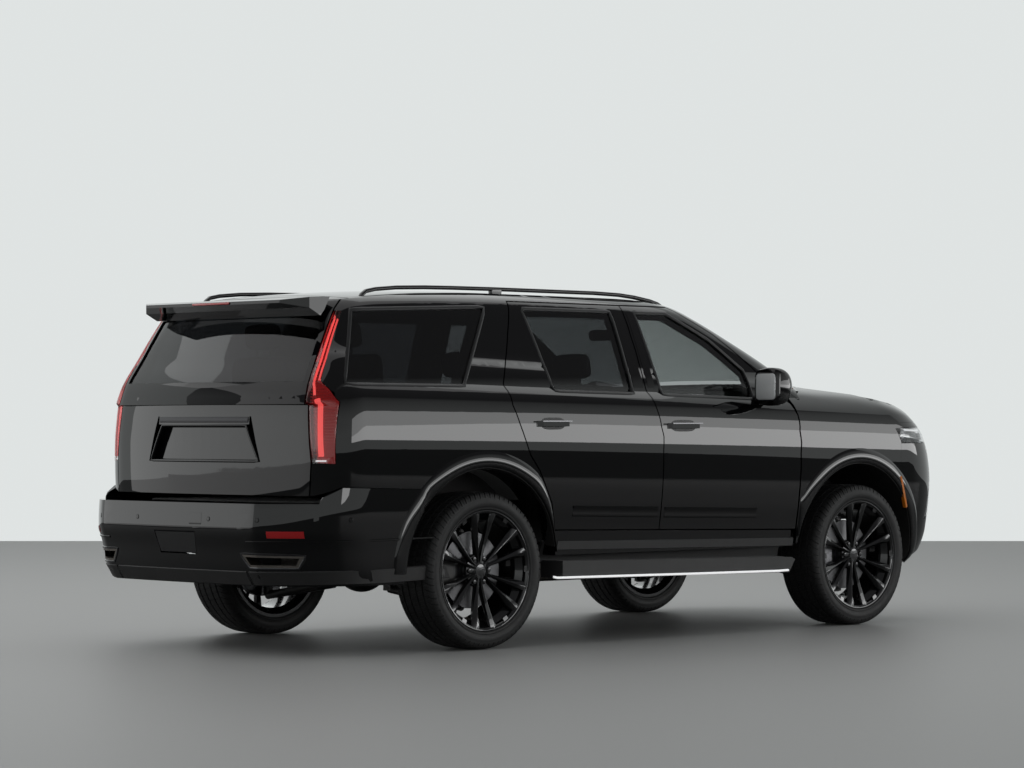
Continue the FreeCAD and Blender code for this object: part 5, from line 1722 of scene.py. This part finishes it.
    def handles(self, hull: Hull) -> None:
        """Dark cups behind the door handles, with the handles' bright edge.

        Args:
            hull: the hull's one side.
        """
        word = hull.side.word
        for end, x0, x1, z in (("front", 40, 252, 1188), ("rear", -972, -786, 1200)):
            low, high = [], []
            for k in range(17):
                t = k / 16
                half = self.cup_half_height * (1 - (2 * t - 1) ** 4) ** 0.5 + 0.5
                low.append((x0 + (x1 - x0) * t, z - half))
                high.append((x0 + (x1 - x0) * t, z + half))
            grid = span(low, high, [(0, -1.5), (0.02, 0.8), (0.5, 0.5), (0.98, 0.8), (1, -1.5)])
            hull.lay(f"handle_cup_{end}", SATIN, grid, 2, body=f"door_{end}_{word}")
            strip = ribbon([(x0 - 16, z + 11), (x1 + 18, z + 11)],
                           [(-3.5, 33), (-3, 38.5), (3, 38.5), (3.5, 33)])
            hull.lay(f"handle_strip_{end}", DARK_CHROME, strip, 3, body=f"door_{end}_{word}")


@dataclass
class TailLamps:
    """Tall lamps at the tail's corners: red lens, clear strip, lined bowl and light bars."""

    inner: Sequence[Point2] = ((822, 994), (777, 1399), (713, 1788))
    outer: Sequence[Point2] = ((928, 994), (928, 1310), (871, 1384), (829, 1420), (741, 1794))
    clear_top: float = 1022.0

    def edges(self, low: float, high: float, step: float) -> tuple[list[Point2], list[Point2]]:
        """Points up the inner and the outer edge.

        Args:
            low: lowest height.
            high: highest height.
            step: the widest spacing.

        Returns:
            Both edges' points.
        """
        inner, outer = np.array(self.inner), np.array(self.outer)
        heights = np.linspace(low, high, max(2, math.ceil((high - low) / step) + 1))
        return ([(float(np.interp(z, inner[:, 1], inner[:, 0])), float(z)) for z in heights],
                [(float(np.interp(z, outer[:, 1], outer[:, 0])), float(z)) for z in heights])

    def build(self) -> None:
        """Make both lamps."""
        lens_section = [(0, -2), (0.02, 0.5), (0.1, 2), (0.32, 3), (0.36, 5), (0.42, 5), (0.46, 3),
                        (0.9, 2), (0.98, 0.5), (1, -2)]
        bowl_section = [(0, -3), (0.01, -34), (0.2, -40), (0.8, -40), (0.99, -34), (1, -3)]
        for side in Side:
            hull = Hull(Face.TAIL, side)
            lens = hull.lay("tail_lens", RED_LENS,
                            span(*self.edges(self.clear_top, 1786, 16), lens_section), 3)
            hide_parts("tail_lamps")
            hull.lay("reversing_lens", CLEAR_LENS,
                     span(*self.edges(996, self.clear_top - 1, 12), lens_section), 3)
            hull.lay("reversing_light", WHITE_BAR,
                     patch(((836, 1003), (890, 1003)), ((836, 1012), (890, 1012)), 6,
                           [(0, -14), (0.3, -10), (0.7, -10), (1, -14)]), 4)
            hull.lay("tail_bowl", RED_BOWL, span(*self.edges(995, 1788, 20), bowl_section), 2)
            for share, half, low, high, name in ((0.40, 14, 1030, 1330, "lower"),
                                                 (0.30, 5, 1350, 1775, "inner"),
                                                 (0.82, 4, 1430, 1775, "outer")):
                inner, outer = self.edges(low, high, 16)
                path = [(a[0] + (b[0] - a[0]) * share, a[1]) for a, b in zip(inner, outer)]
                bar = ribbon(path, [(-half, -18), (-0.7 * half, -12), (0, -10), (0.7 * half, -12),
                                    (half, -18)])
                hull.lay(f"tail_light_bar_{name}", RED_BAR, bar, 6)
            self.add_ribs(hull)
        LOG.info("tail lamps")

    def add_ribs(self, hull: Hull) -> None:
        """Cross ribs in the bowl.

        Args:
            hull: the tail's one side.
        """
        parts = []
        inner, outer = self.edges(1040, 1770, 16)
        for a, b in zip(inner, outer):
            row = span([a, (a[0], a[1] + 3)], [b, (b[0], b[1] + 3)], [(0.08, -22), (0.5, -25), (0.92, -22)])
            parts.append(slab(hull.face, row, 14, hull.sign))
        solid_piece(f"tail_ribs_{hull.side.word}", merged(parts), "chassis", RED_BOWL)


@dataclass
class RearFittings:
    """What the tailgate and the rear bumper carry."""

    handle_bar: tuple[float, float, float] = (372, 1204, 1236)
    reflector: tuple[float, float] = (612, 650)
    sensor_height: float = 706.0
    valance: Sequence[Point2] = ((-38, -3), (-34, 3), (32, 4), (38, -3))
    sensors: Sequence[float] = (-968, -660, -300, 300, 660, 968)

    def build(self) -> None:
        """Make them."""
        gate, bumper = Hull(Face.TAIL), Hull(Face.BUMPER)
        half, low, high = self.handle_bar
        grid = span(sampled([(-half, low), (half, low)], 30), sampled([(-half, high), (half, high)], 30),
                    [(0, -3), (0.04, 2), (0.5, 4.5), (0.96, 2), (1, -3)])
        gate.lay("tailgate_bar", SATIN_METAL, grid, 5, body="liftgate")
        low, high, foot, top = 1004, 1190, 452, 352
        frame = ribbon([(-foot, low), (foot, low), (top, high), (-top, high)],
                       [(-9, -0.5), (-6, 1.5), (-1, 2.5), (3, 1), (7, -6), (9, -34)], 30, True)
        gate.lay("plate_surround", PAINT, frame, 4, closed=True, body="liftgate")
        lamp = placed(tile(310, 12, 5, 5.5), (-2428.5, 0, 1834), REARWARDS)
        solid_piece("high_brake_lamp", lamp, "liftgate", RED_SOLID)
        for side in Side:
            hull = Hull(Face.BUMPER, side)
            z0, z1 = self.reflector
            path = sampled([(705, z0), (858, z0)], 17), sampled([(705, z1), (858, z1)], 17)
            hull.lay("rear_reflector", RED_SOLID,
                     span(*path, [(0, -2), (0.06, 2), (0.5, 2.5), (0.94, 2), (1, -2)]), 5)
            strip = ribbon([(575, 592), (1150, 600), (1460, 606)],
                           [(-7, -2), (-4, 3.5), (4, 3.5), (7, -2)])
            hull.lay("bumper_crease", GLOSS, strip, 5)
            lower = ribbon([(560, 405), (1000, 412), (1440, 425)], self.valance)
            hull.lay("bumper_valance", GRAINED, lower, 6)
            ring = ribbon([(527, 527), (577, 463), (813, 463), (843, 522)],
                          [(0, -24), (0, 3), (-3, 5), (-11, 4), (-13, 0), (-14, -24)], 30, True)
            hull.lay("exhaust_finisher", DARK_CHROME, ring, 3, closed=True)
        middle = ribbon([(-540, 405), (540, 405)], self.valance)
        bumper.lay("bumper_valance_middle", GRAINED, middle, 6)
        self.add_covers(bumper)
        self.add_sensors()
        LOG.info("rear fittings")

    def add_covers(self, bumper: Hull) -> None:
        """Cover over the receiver, small cover of the towing eye and the bumper's front corners.

        Args:
            bumper: the bumper's face.
        """
        bumper.lay("receiver_cover", SATIN,
                   patch(((-167, 524), (127, 524)), ((-186, 637), (146, 637)), 12,
                         [(0, -8), (0.03, -2), (0.5, 0), (0.97, -2), (1, -8)]), 4)
        bumper.lay("towing_eye_cover", PAINT,
                   patch(((-243, 676), (-146, 676)), ((-243, 738), (-146, 738)), 6,
                         [(0, -2), (0.02, 0.4), (0.06, 0.6), (0.5, 0.6), (0.94, 0.6), (0.98, 0.4),
                          (1, -2)]), 3)
        for side in Side:
            corner = patch(((-2478, 694), (-2434, 694)), ((-2478, 788), (-2434, 788)), 8,
                           [(0, -0.4), (0.5, -0.4), (1, -0.4)])
            Hull(Face.SIDE, side).lay("bumper_corner", PAINT, corner, 6)

    def add_sensors(self) -> None:
        """Round parking sensors with their rings."""
        parts = []
        for y in self.sensors:
            at, normal = on_hull(Face.BUMPER, np.array([y]), np.array([self.sensor_height]), 0)
            profile = [(-4, 0.3), (-4, 12.5), (0.8, 12.5), (1.4, 11), (0.6, 10), (0.6, 9.2), (2.2, 8.6),
                       (2.4, 0.3)]
            points, faces = lathe(profile, 32)
            parts.append(aimed(([(y, x, z) for x, y, z in points], faces), at[0], normal[0]))
        solid_piece("parking_sensors", merged(parts), "chassis", GLOSS)


@dataclass
class Mirror:
    """Door mirror: smooth housing on its arm, and the pane in it."""

    sections: Sequence[tuple[float, float, float, float, float]] = (
        (-1010, 764, 890, 1338, 1478), (-1035, 744, 912, 1320, 1500),
        (-1070, 735, 924, 1308, 1514), (-1130, 730, 920, 1301, 1522),
        (-1175, 730, 898, 1303, 1520), (-1204, 738, 866, 1316, 1508),
        (-1213, 752, 838, 1336, 1490))

    def ring(self, y: float, x0: float, x1: float, z0: float, z1: float) -> list[Point3]:
        """Section of the housing: flat towards the rear and round towards the front."""
        zc, half = (z0 + z1) / 2, (z1 - z0) / 2
        root = x0 + 16
        points = []
        for k in range(21):
            a = math.pi * (k / 20 - 0.5)
            points.append((root + (x1 - root) * math.cos(a) ** 0.75, y, zc + half * math.sin(a)))
        for x, share in ((x0 + 4, 0.98), (x0, 0.92), (x0, 0.5), (x0, 0), (x0, -0.5), (x0, -0.92),
                         (x0 + 4, -0.98)):
            points.append((x, y, zc + half * share))
        return points

    def build(self) -> None:
        """Make both mirrors."""
        for side in Side:
            s, word = side.value, side.word
            body = f"door_front_{word}"
            rings = [[(x, -s * y, z) for x, y, z in self.ring(*row)] for row in self.sections]
            arm_rings = []
            for y, grow in ((-960, 10), (-990, 4), (-1012, 0), (-1030, 2)):
                arm_rings.append([(846 + x, -s * y, 1340 + z) for x, z in
                                  rounded_ring(90 + grow, 34 + grow, 14)])
            shell = merged([bar_loft(rings), bar_loft(arm_rings)])
            housing = solid_piece(f"mirror_housing_{word}", shell, body, PAINT, LAID_ANGLE)
            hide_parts(f"mirror_{word}")
            # The pane's pale, half diffuse finish is partly a painted reflection of the pale surroundings.
            for kind, block, at, turn, finish in (
                    ("pane", tile(146, 150, 4, 22), (728, s * 1126, 1412), REARWARDS, MIRROR_PAINTED_REFLECTION),
                    ("surround", tile(158, 164, 3, 26), (731, s * 1126, 1412), REARWARDS, SATIN),
                    ("turn_lamp", tile(118, 7, 4, 3), (912, s * 1110, 1402), FORWARDS, AMBER_LENS)):
                solid_piece(f"mirror_{kind}_{word}", placed(block, at, turn), body, finish)
        LOG.info("mirrors")


@dataclass
class RoofRails:
    """Rounded rails along the roof."""

    y: float = 655.0
    top: float = 1948.0
    foot_x: float = -970.0
    half_width: float = 15.0
    half_height: float = 11.5
    square: float = 0.6
    line: Sequence[Point2] = ((-1958, -94), (-1945, -72), (-1915, -50), (-1850, -37), (-1700, -24),
                              (-1500, -17), (-1300, -14), (-1000, -12), (-600, -12), (-200, -12),
                              (0, -17), (120, -27), (250, -45), (315, -60), (348, -76), (362, -98))

    def build(self) -> None:
        """Make both rails with their middle feet."""
        for side in Side:
            y = side.value * self.y
            rings = []
            for x, drop in self.line:
                rings.append(round_ring(16, lambda c, s, x=x, z=self.top + drop: (
                    x, y + self.half_width * squared(c, self.square),
                    z + self.half_height * squared(s, self.square))))
            foot = []
            for z, grow in ((self.top - 72, 8), (self.top - 40, 0), (self.top - 16, 2)):
                foot.append([(self.foot_x + along, y + across, z) for across, along in
                             rounded_ring(28 + grow, 84 + 2 * grow, 12)])
            whole = merged([bar_loft(rings), bar_loft(foot)])
            rail = solid_piece(f"roof_rail_{side.word}", whole, "chassis", GLOSS, SOFT_ANGLE)
            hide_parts("roof_rails")
        LOG.info("roof rails")


@dataclass
class RunningBoards:
    """Tread ribs and the strip along the running boards, which glows white as a painted highlight, and the
    covers between them and the sills.
    """

    cover_x: Sequence[float] = (-850, -840, -200, 500, 1110, 1120)
    board_slope: float = 0.0145
    rib_rows: Sequence[float] = (892, 908, 924, 940, 956, 972, 988, 1004)
    rib_section: Sequence[Point2] = ((-4, -1), (-2.5, 3), (2.5, 3), (4, -1))
    strip_section: Sequence[Point2] = ((1029, -3), (1035, -2), (1037.5, 0), (1037.5, 6), (1035, 9),
                                       (1029, 10))

    def add_cover(self, side: Side) -> None:
        """Moulded cover between the sill and the board.

        Args:
            side: which side.
        """
        rings = []
        for x in self.cover_x:
            end = 3 if x in (self.cover_x[0], self.cover_x[-1]) else 0
            low = 446 - self.board_slope * (x - self.cover_x[0])
            section = ((868, low), (872, low + 30), (904, 552), (900, 566), (894, 566), (862, low))
            rings.append([(x, side.value * (y - end), z) for y, z in section])
        solid_piece(f"sill_cover_{side.word}", bar_loft(rings), "chassis", GRAINED)

    def build(self) -> None:
        """Make them on both sides."""
        for side in Side:
            s = side.value
            ribs = []
            for y in self.rib_rows:
                ribs.append(bar_loft([[(x, s * (y + across), z + up) for across, up in self.rib_section]
                                      for x, z in ((-800, 453), (-300, 445), (300, 436), (1010, 425.5))]))
            solid_piece(f"board_tread_{side.word}", merged(ribs), "chassis", GRAINED)
            rings = [[(x, s * y, z + up) for y, up in self.strip_section] for x, z in (
                (-893, 368), (-860, 362), (-300, 356), (300, 349), (940, 343), (1028, 345))]
            self.add_cover(side)
            # The strip takes the light bars' glowing white finish though it is not a lamp: a painted
            # highlight along the board's edge.
            solid_piece(f"board_strip_{side.word}", bar_loft(rings), "chassis", WHITE_BAR)
        LOG.info("running boards")


# Cabin


SEAM_PLACE = 0.55
SEAM_WIDTH = 0.035


def squared(value: float, power: float) -> float:
    """A cosine or sine raised to a power with its sign kept: nearer 0 is squarer."""
    return math.copysign(abs(value) ** power, value)


def pad(size: Point3, square: float, crown: float = 0.0, groove: float = 0.0,
        count: tuple[int, int] = (40, 24)) -> Solid:
    """Soft block with round edges; its face is towards +Z.

    Args:
        size: half sizes along X, Y and Z.
        square: from 0.2, nearly square, to 1, round.
        crown: how much the face's sides stand up.
        groove: depth of the two seams along the face.
        count: points round and points over.

    Returns:
        Points and faces.
    """
    around, over = count
    points = []
    for i in range(1, over):
        v = math.pi * (i / over - 0.5)
        for j in range(around):
            u = 2 * math.pi * j / around
            ring = math.cos(v) ** square
            x = size[0] * squared(math.cos(u), square) * ring
            y = size[1] * squared(math.sin(u), square) * ring
            z = size[2] * squared(math.sin(v), square)
            if z > 0.0:
                share = abs(y) / size[1]
                z += crown * share**3
                seam = math.exp(-(((share - SEAM_PLACE) / SEAM_WIDTH) ** 2))
                z -= groove * seam * min(1, 3 * math.sin(v))
            points.append((x, y, z))
    faces = grid_faces(over - 1, around, False, True)
    points += [(0, 0, -size[2]), (0, 0, size[2])]
    low, high = len(points) - 2, len(points) - 1
    last = (over - 2) * around
    faces += [(low, (j + 1) % around, j) for j in range(around)]
    faces += [(high, last + j, last + (j + 1) % around) for j in range(around)]
    return points, faces


@dataclass
class Seats:
    """Three rows of padded seats on plain valances."""

    lean: float = 9.2
    top_drop: float = 99.0
    post_radius: float = 7.0

    def seat_mesh(self) -> bpy.types.Mesh:
        """Cushion, back and head restraint of one seat, about its own place."""
        drop = self.top_drop
        parts = (
            placed(pad((262, 266, 50), 0.3, 16, 5), (22, 0, 748), (0, -3, 0)),
            placed(pad((330, 252, 52), 0.3, 20, 5), (-255 - drop * 0.5, 0, 1092),
                   (0, 90 - self.lean, 0)),
            placed(pad((72, 132, 38), 0.45), (-255 - drop, 0, 1524), (0, 90 - self.lean, 0)))
        return mesh_from("seat_pads", *merged(parts), angle=SOFT_ANGLE)

    def valance_mesh(self, low: float, high: float) -> bpy.types.Mesh:
        """Base of one seat with the posts of its head restraint.

        Args:
            low: height of its foot.
            high: height of its top.

        Returns:
            The mesh.
        """
        base = []
        for z, grow in ((low, 0), (low + 8, 6), (high - 12, 0), (high, -16)):
            base.append([(-10 + along, across, z) for across, along in
                         rounded_ring(420 + grow, 420 + grow, 40)])
        posts = []
        for y in (-62, 62):
            rings = []
            for x, z in ((-344, 1395), (-354, 1480)):
                rings.append(round_ring(8, lambda c, s, x=x, y=y, z=z: (
                    x + self.post_radius * c, y + self.post_radius * s, z)))
            posts.append(bar_loft(rings))
        return mesh_from("seat_valance", *merged([bar_loft(base), *posts]))

    def build(self) -> None:
        """Place the six seats."""
        pads = self.seat_mesh()
        floor_base = self.valance_mesh(592, 712)
        load_base = self.valance_mesh(642, 712)
        for row, at, node, base in (("front", (230, 400, 0), "front_seats", floor_base),
                                    ("second", (-640, 400, 0), "rear_seats", floor_base),
                                    ("third", (-1440, 330, 150), "rear_seats", load_base)):
            for side in Side:
                place = (at[0], side.value * at[1], at[2])
                piece = new_piece(f"seat_{row}_{side.word}", pads, "chassis", LEATHER, at=place)
                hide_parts(node)
                new_piece(f"valance_{row}_{side.word}", base, "chassis", INNER_TRIM, at=place)
        LOG.info("seats")


@dataclass
class CabinFittings:
    """Displays, inner mirror and the pads of the doors."""

    def build(self) -> None:
        """Make them."""
        for name, block, at, lean in (
                ("centre_display", tile(330, 125, 12, 10), (712, 0, 1262), -14),
                ("driver_display", tile(360, 120, 12, 14), (742, 400, 1312), -10)):
            solid_piece(name, placed(block, at, (0, lean, 180)), "chassis", GLOSS)
        hood_rings = []
        for y, grow in ((190, -14), (210, 0), (400, 12), (590, 0), (610, -14)):
            hood_rings.append([(735 - grow, y, 1368 + grow), (760, y, 1384 + grow), (860, y, 1372 + grow),
                               (960, y, 1330), (900, y, 1312), (770, y, 1352 + grow)])
        solid_piece("driver_display_hood", bar_loft(hood_rings), "chassis", INNER_TRIM, SOFT_ANGLE)
        stem = [round_ring(10, lambda c, s, x=x, z=z, r=r: (x, r * c, z + r * s))
                for x, z, r in ((560, 1735, 9), (590, 1745, 8), (640, 1778, 12))]
        mirror = placed(tile(250, 66, 22, 26, 8), (562, 0, 1726), (0, 8, 180))
        solid_piece("inner_mirror", merged([mirror, bar_loft(stem)]), "chassis", SATIN)
        for side in Side:
            for end, x0, x1, z in (("front", 80, 900, 960), ("rear", -780, -140, 970)):
                body = f"door_{end}_{side.word}"
                rings = []
                for x, grow in ((x0, -12), (x0 + 40, 0), ((x0 + x1) / 2, 6), (x1 - 40, 0), (x1, -12)):
                    rings.append([(x, side.value * (892 - w), z + h) for w, h in
                                  ((0, -40 - grow), (38 + grow, -28), (52 + grow, 0), (46 + grow, 24),
                                   (20, 34 + grow), (0, 30))])
                solid_piece(f"arm_rest_{end}_{side.word}", bar_loft(rings), body, LEATHER, SOFT_ANGLE)
        LOG.info("cabin fittings")


# Front lamps


@dataclass
class FrontLamps:
    """Slim upper lamps and upright strips beside the grille."""

    upper_low: Sequence[Point2] = ((622, 1101), (800, 1093), (985, 1084), (1018, 1082))
    upper_high: Sequence[Point2] = ((632, 1180), (800, 1180), (985, 1176), (1018, 1174))
    module_height: float = 1130.0
    module_depth: float = 27.0
    strip_low: Point2 = (896, 632)
    strip_high: Point2 = (896, 1050)

    def build(self) -> None:
        """Make the lamps of both sides."""
        lens_section = [(0, -2), (0.04, 1), (0.5, 2), (0.96, 1), (1, -2)]
        bowl_section = [(0, -3), (0.02, -24), (0.5, -28), (0.98, -24), (1, -3)]
        low = np.stack([np.linspace(self.upper_low[0][0], self.upper_low[-1][0], 24), np.zeros(24)], axis=1)
        high = low.copy()
        low[:, 1] = np.interp(low[:, 0], *np.array(self.upper_low).T)
        high[:, 1] = np.interp(high[:, 0], *np.array(self.upper_high).T)
        for side in Side:
            hull = Hull(Face.NOSE, side)
            lens = hull.lay("headlamp_lens", CLEAR_LENS, span(low, high, lens_section), 3)
            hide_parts("headlamps")
            hull.lay("headlamp_bowl", GLOSS, span(low, high, bowl_section), 2)
            brow = ribbon([(636, 1168), (980, 1164)], [(-5, -18), (-3, -12), (3, -12), (5, -18)])
            hull.lay("headlamp_brow_light", WHITE_BAR, brow, 5)
            parts = []
            for y in (676, 752, 828, 904):
                at, normal = on_hull(Face.NOSE, np.array([y]), np.array([self.module_height]), hull.sign)
                block = tile(60, 44, 16, 10, 6)
                parts.append(aimed(block, at[0] - normal[0] * self.module_depth, normal[0]))
            solid_piece(f"headlamp_modules_{side.word}", merged(parts), "chassis", DARK_CHROME)
            path = [self.strip_low, self.strip_high]
            hull.lay("strip_lens", CLEAR_LENS, ribbon(path, [(-27, -2), (-24, 1.5), (24, 1.5), (27, -2)]), 3)
            hull.lay("strip_bowl", SATIN, ribbon(path, [(-27, -3), (-26, -24), (26, -24), (27, -3)]), 2)
            hull.lay("strip_light", WHITE_BAR,
                     ribbon([(896, 642), (896, 1040)], [(-9, -20), (-7, -9), (7, -9), (9, -20)]), 6)
        LOG.info("front lamps")


# Finishes of the CAD nodes that stay


NODE_FINISHES = {
    "frame": STEEL, "powertrain": CAST, "front_suspension": STEEL, "rear_suspension": STEEL,
    "spare_wheel": RUBBER, "fuel_tank": UNDERSIDE, "floor": CARPET, "exhaust": EXHAUST_STEEL,
    "running_boards": GRAINED, "grille": GLOSS, "dashboard": INNER_TRIM, "steering_wheel": LEATHER,
    "knuckle_left": CAST, "knuckle_right": CAST, "wheel_liners": UNDERSIDE, "cowl": GRAINED,
}


def dress_nodes(frame: dict) -> None:
    """Give the CAD nodes that stay their finishes.

    Args:
        frame: what the frame holds.
    """
    for node, finish in NODE_FINISHES.items():
        thing = frame["nodes"].get(node)
        if thing is None:
            continue
        for slot in thing.material_slots:
            slot.link = "OBJECT"
            slot.material = finish.material()
    LOG.info("node finishes")


# Studio and camera


@dataclass(frozen=True)
class Lamp:
    """Soft rectangular lamp: name, place and aim in metres, sides in metres and power in watts."""

    name: str
    place: Point3
    aim: Point3
    size: Point2
    power: float

    def build(self) -> None:
        """Hang the lamp."""
        data = bpy.data.lights.new(self.name, "AREA")
        data.shape = "RECTANGLE"
        data.size, data.size_y = self.size
        data.energy = self.power
        lamp = bpy.data.objects.new(self.name, data)
        lamp.location = self.place
        lamp.rotation_euler = (Vector(self.aim) - Vector(self.place)).to_track_quat("-Z", "Y").to_euler()
        bpy.context.scene.collection.objects.link(lamp)


LAMPS = (
    Lamp("overhead_lamp", (-3.0, 4.5, 7.5), (-3.0, 4.5, 0.0), (20.0, 14.0), 620.0),
    Lamp("side_lamp", (8.6, -13.9, 2.6), (-0.5, -1.0, 2.2), (23.0, 2.3), 380.0),
    Lamp("low_side_lamp", (8.5, -13.7, 1.9), (-0.5, -1.0, 1.8), (23.0, 0.9), 130.0),
    Lamp("rear_lamp", (-13.5, 10.0, 3.2), (-2.0, 0.0, 2.6), (16.0, 6.0), 260.0),
)


@dataclass(frozen=True)
class Studio:
    """Pale floor, backdrop, lamps and the camera. Its places and reaches are in metres."""

    camera_place: Point3 = (-13.1324, -13.4109, 1.1967)
    yaw: float = 0.76688
    pitch: float = 0.01248
    lens: float = 113.2
    sensor: float = 36.0
    view_end: float = 200.0
    floor_reach: float = 60.0
    wall_distance: float = 33.0
    wall_height: float = 30.0
    pale: Colour = (0.74, 0.77, 0.765)
    ceiling: Colour = (0.13, 0.13, 0.135)
    ceiling_fade: Point2 = (0.10, 0.42)
    floor_pale: Colour = (0.30, 0.30, 0.298)
    floor_in_reflections: Colour = (0.075, 0.075, 0.075)
    world_strength: float = 0.55

    def build(self) -> None:
        """Make the studio."""
        scene = bpy.context.scene
        scene.view_settings.view_transform = "Standard"
        self.add_camera(scene)
        self.add_surroundings()
        self.add_world(scene)
        for lamp in LAMPS:
            lamp.build()
        LOG.info("studio")

    def add_camera(self, scene: bpy.types.Scene) -> None:
        """Camera at the photograph's place."""
        data = bpy.data.cameras.new("camera")
        data.lens = self.lens
        data.sensor_width = self.sensor
        data.clip_end = self.view_end
        camera = bpy.data.objects.new("camera", data)
        camera.location = self.camera_place
        camera.rotation_euler = (math.pi / 2.0 + self.pitch, 0.0, -self.yaw)
        scene.collection.objects.link(camera)
        scene.camera = camera

    def add_surroundings(self) -> None:
        """Floor and backdrop, which aren't part of the object."""
        reach, top = self.floor_reach, Vector((0.0, 0.0, self.wall_height))
        ahead = Vector((math.sin(self.yaw), math.cos(self.yaw), 0.0))
        across = Vector((ahead.y, -ahead.x, 0.0)) * reach
        foot = Vector((*self.camera_place[:2], 0.0)) + ahead * self.wall_distance
        floor = [(-reach, -reach, 0.0), (reach, -reach, 0.0), (reach, reach, 0.0), (-reach, reach, 0.0)]
        wall = [foot - across, foot + across, foot + across + top, foot - across + top]
        for name, corners, material in (("floor", floor, self.floor_material()),
                                        ("backdrop", wall, self.wall_material())):
            mesh = mesh_from(name, [[c / MM for c in corner] for corner in corners], [(0, 1, 2, 3)])
            mesh.materials.append(material)
            thing = bpy.data.objects.new(name, mesh)
            bpy.context.scene.collection.objects.link(thing)

    def floor_material(self) -> bpy.types.Material:
        """Floor that is pale to the camera and darker in reflections, so that black paint stays black.

        Returns:
            The material.
        """
        made, nodes, shader = new_material("floor_surface")
        nodes.fill(shader, {"Roughness": 0.5})
        rays = nodes.add("LightPath")
        mix = nodes.add("Mix", {"A": opaque(self.floor_in_reflections), "B": opaque(self.floor_pale)},
                        data_type="RGBA")
        nodes.link((rays, "Is Camera Ray", mix, "Factor"), (mix, "Result", shader, "Base Color"))
        return made

    def wall_material(self) -> bpy.types.Material:
        """Backdrop that shows its pale colour to the camera and in gloss, and lights the object plainly.

        Returns:
            The material.
        """
        made, nodes, shader = new_material("wall_surface")
        nodes.fill(shader, {"Base Color": opaque(self.pale), "Roughness": 0.9})
        plain = nodes.add("Emission", {"Color": opaque(self.pale)})
        self.mix_seen(nodes, (shader, "BSDF"), (plain, "Emission"), "Material Output")
        return made

    def mix_seen(self, nodes: Nodes, plain: tuple[bpy.types.Node, str], seen: tuple[bpy.types.Node, str],
                 end: str) -> None:
        """Show one shader to the rays that see the surroundings, and the other to the rest.

        The rays that see are those from the camera, in gloss and through glass.

        Args:
            nodes: the nodes of the backdrop or the world.
            plain: the shader for the other rays, and its output.
            seen: the shader for the rays that see, and its output.
            end: the name of the output node.
        """
        rays = nodes.add("LightPath")
        last, output = rays, "Is Camera Ray"
        for name in ("Is Glossy Ray", "Is Transmission Ray"):
            either = nodes.add("Math", operation="MAXIMUM")
            nodes.link((last, output, either, 0), (rays, name, either, 1))
            last, output = either, 0
        mix = nodes.add("MixShader")
        nodes.link((last, output, mix, "Fac"), (*plain, mix, 1), (*seen, mix, 2),
                   (mix, "Shader", nodes.tree.nodes[end], "Surface"))

    def add_world(self, scene: bpy.types.Scene) -> None:
        """Pale even surroundings, darker overhead to the rays that see them, like a studio's ceiling."""
        world = bpy.data.worlds.new("surroundings")
        scene.world = world
        world.use_nodes = True
        nodes = Nodes(world.node_tree)
        light = nodes.fill(nodes.tree.nodes["Background"], {"Color": opaque(self.pale),
                                                            "Strength": self.world_strength})
        sky = nodes.add("Background")
        place = nodes.add("TexCoord")
        split = nodes.add("SeparateXYZ")
        ramp = nodes.add("ValToRGB")
        for stop, at, colour in zip(ramp.color_ramp.elements, self.ceiling_fade, (self.pale, self.ceiling)):
            stop.position = at
            stop.color = opaque(colour)
        nodes.link((place, "Generated", split, 0), (split, "Z", ramp, "Fac"), (ramp, "Color", sky, "Color"))
        self.mix_seen(nodes, (light, "Background"), (sky, "Background"), "World Output")


def main() -> None:
    """Build the looks in order."""
    logging.basicConfig(level=logging.INFO, format="%(message)s")
    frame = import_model()
    Studio().build()
    BodyShell(frame).build()
    dress_nodes(frame)
    for part in (RoadWheel(), SideFittings(), TailLamps(), RearFittings(), Mirror(), RoofRails(),
                 RunningBoards(),
                 FrontLamps(), Seats(), CabinFittings()):
        part.build()


if __name__ == "__main__":
    main()
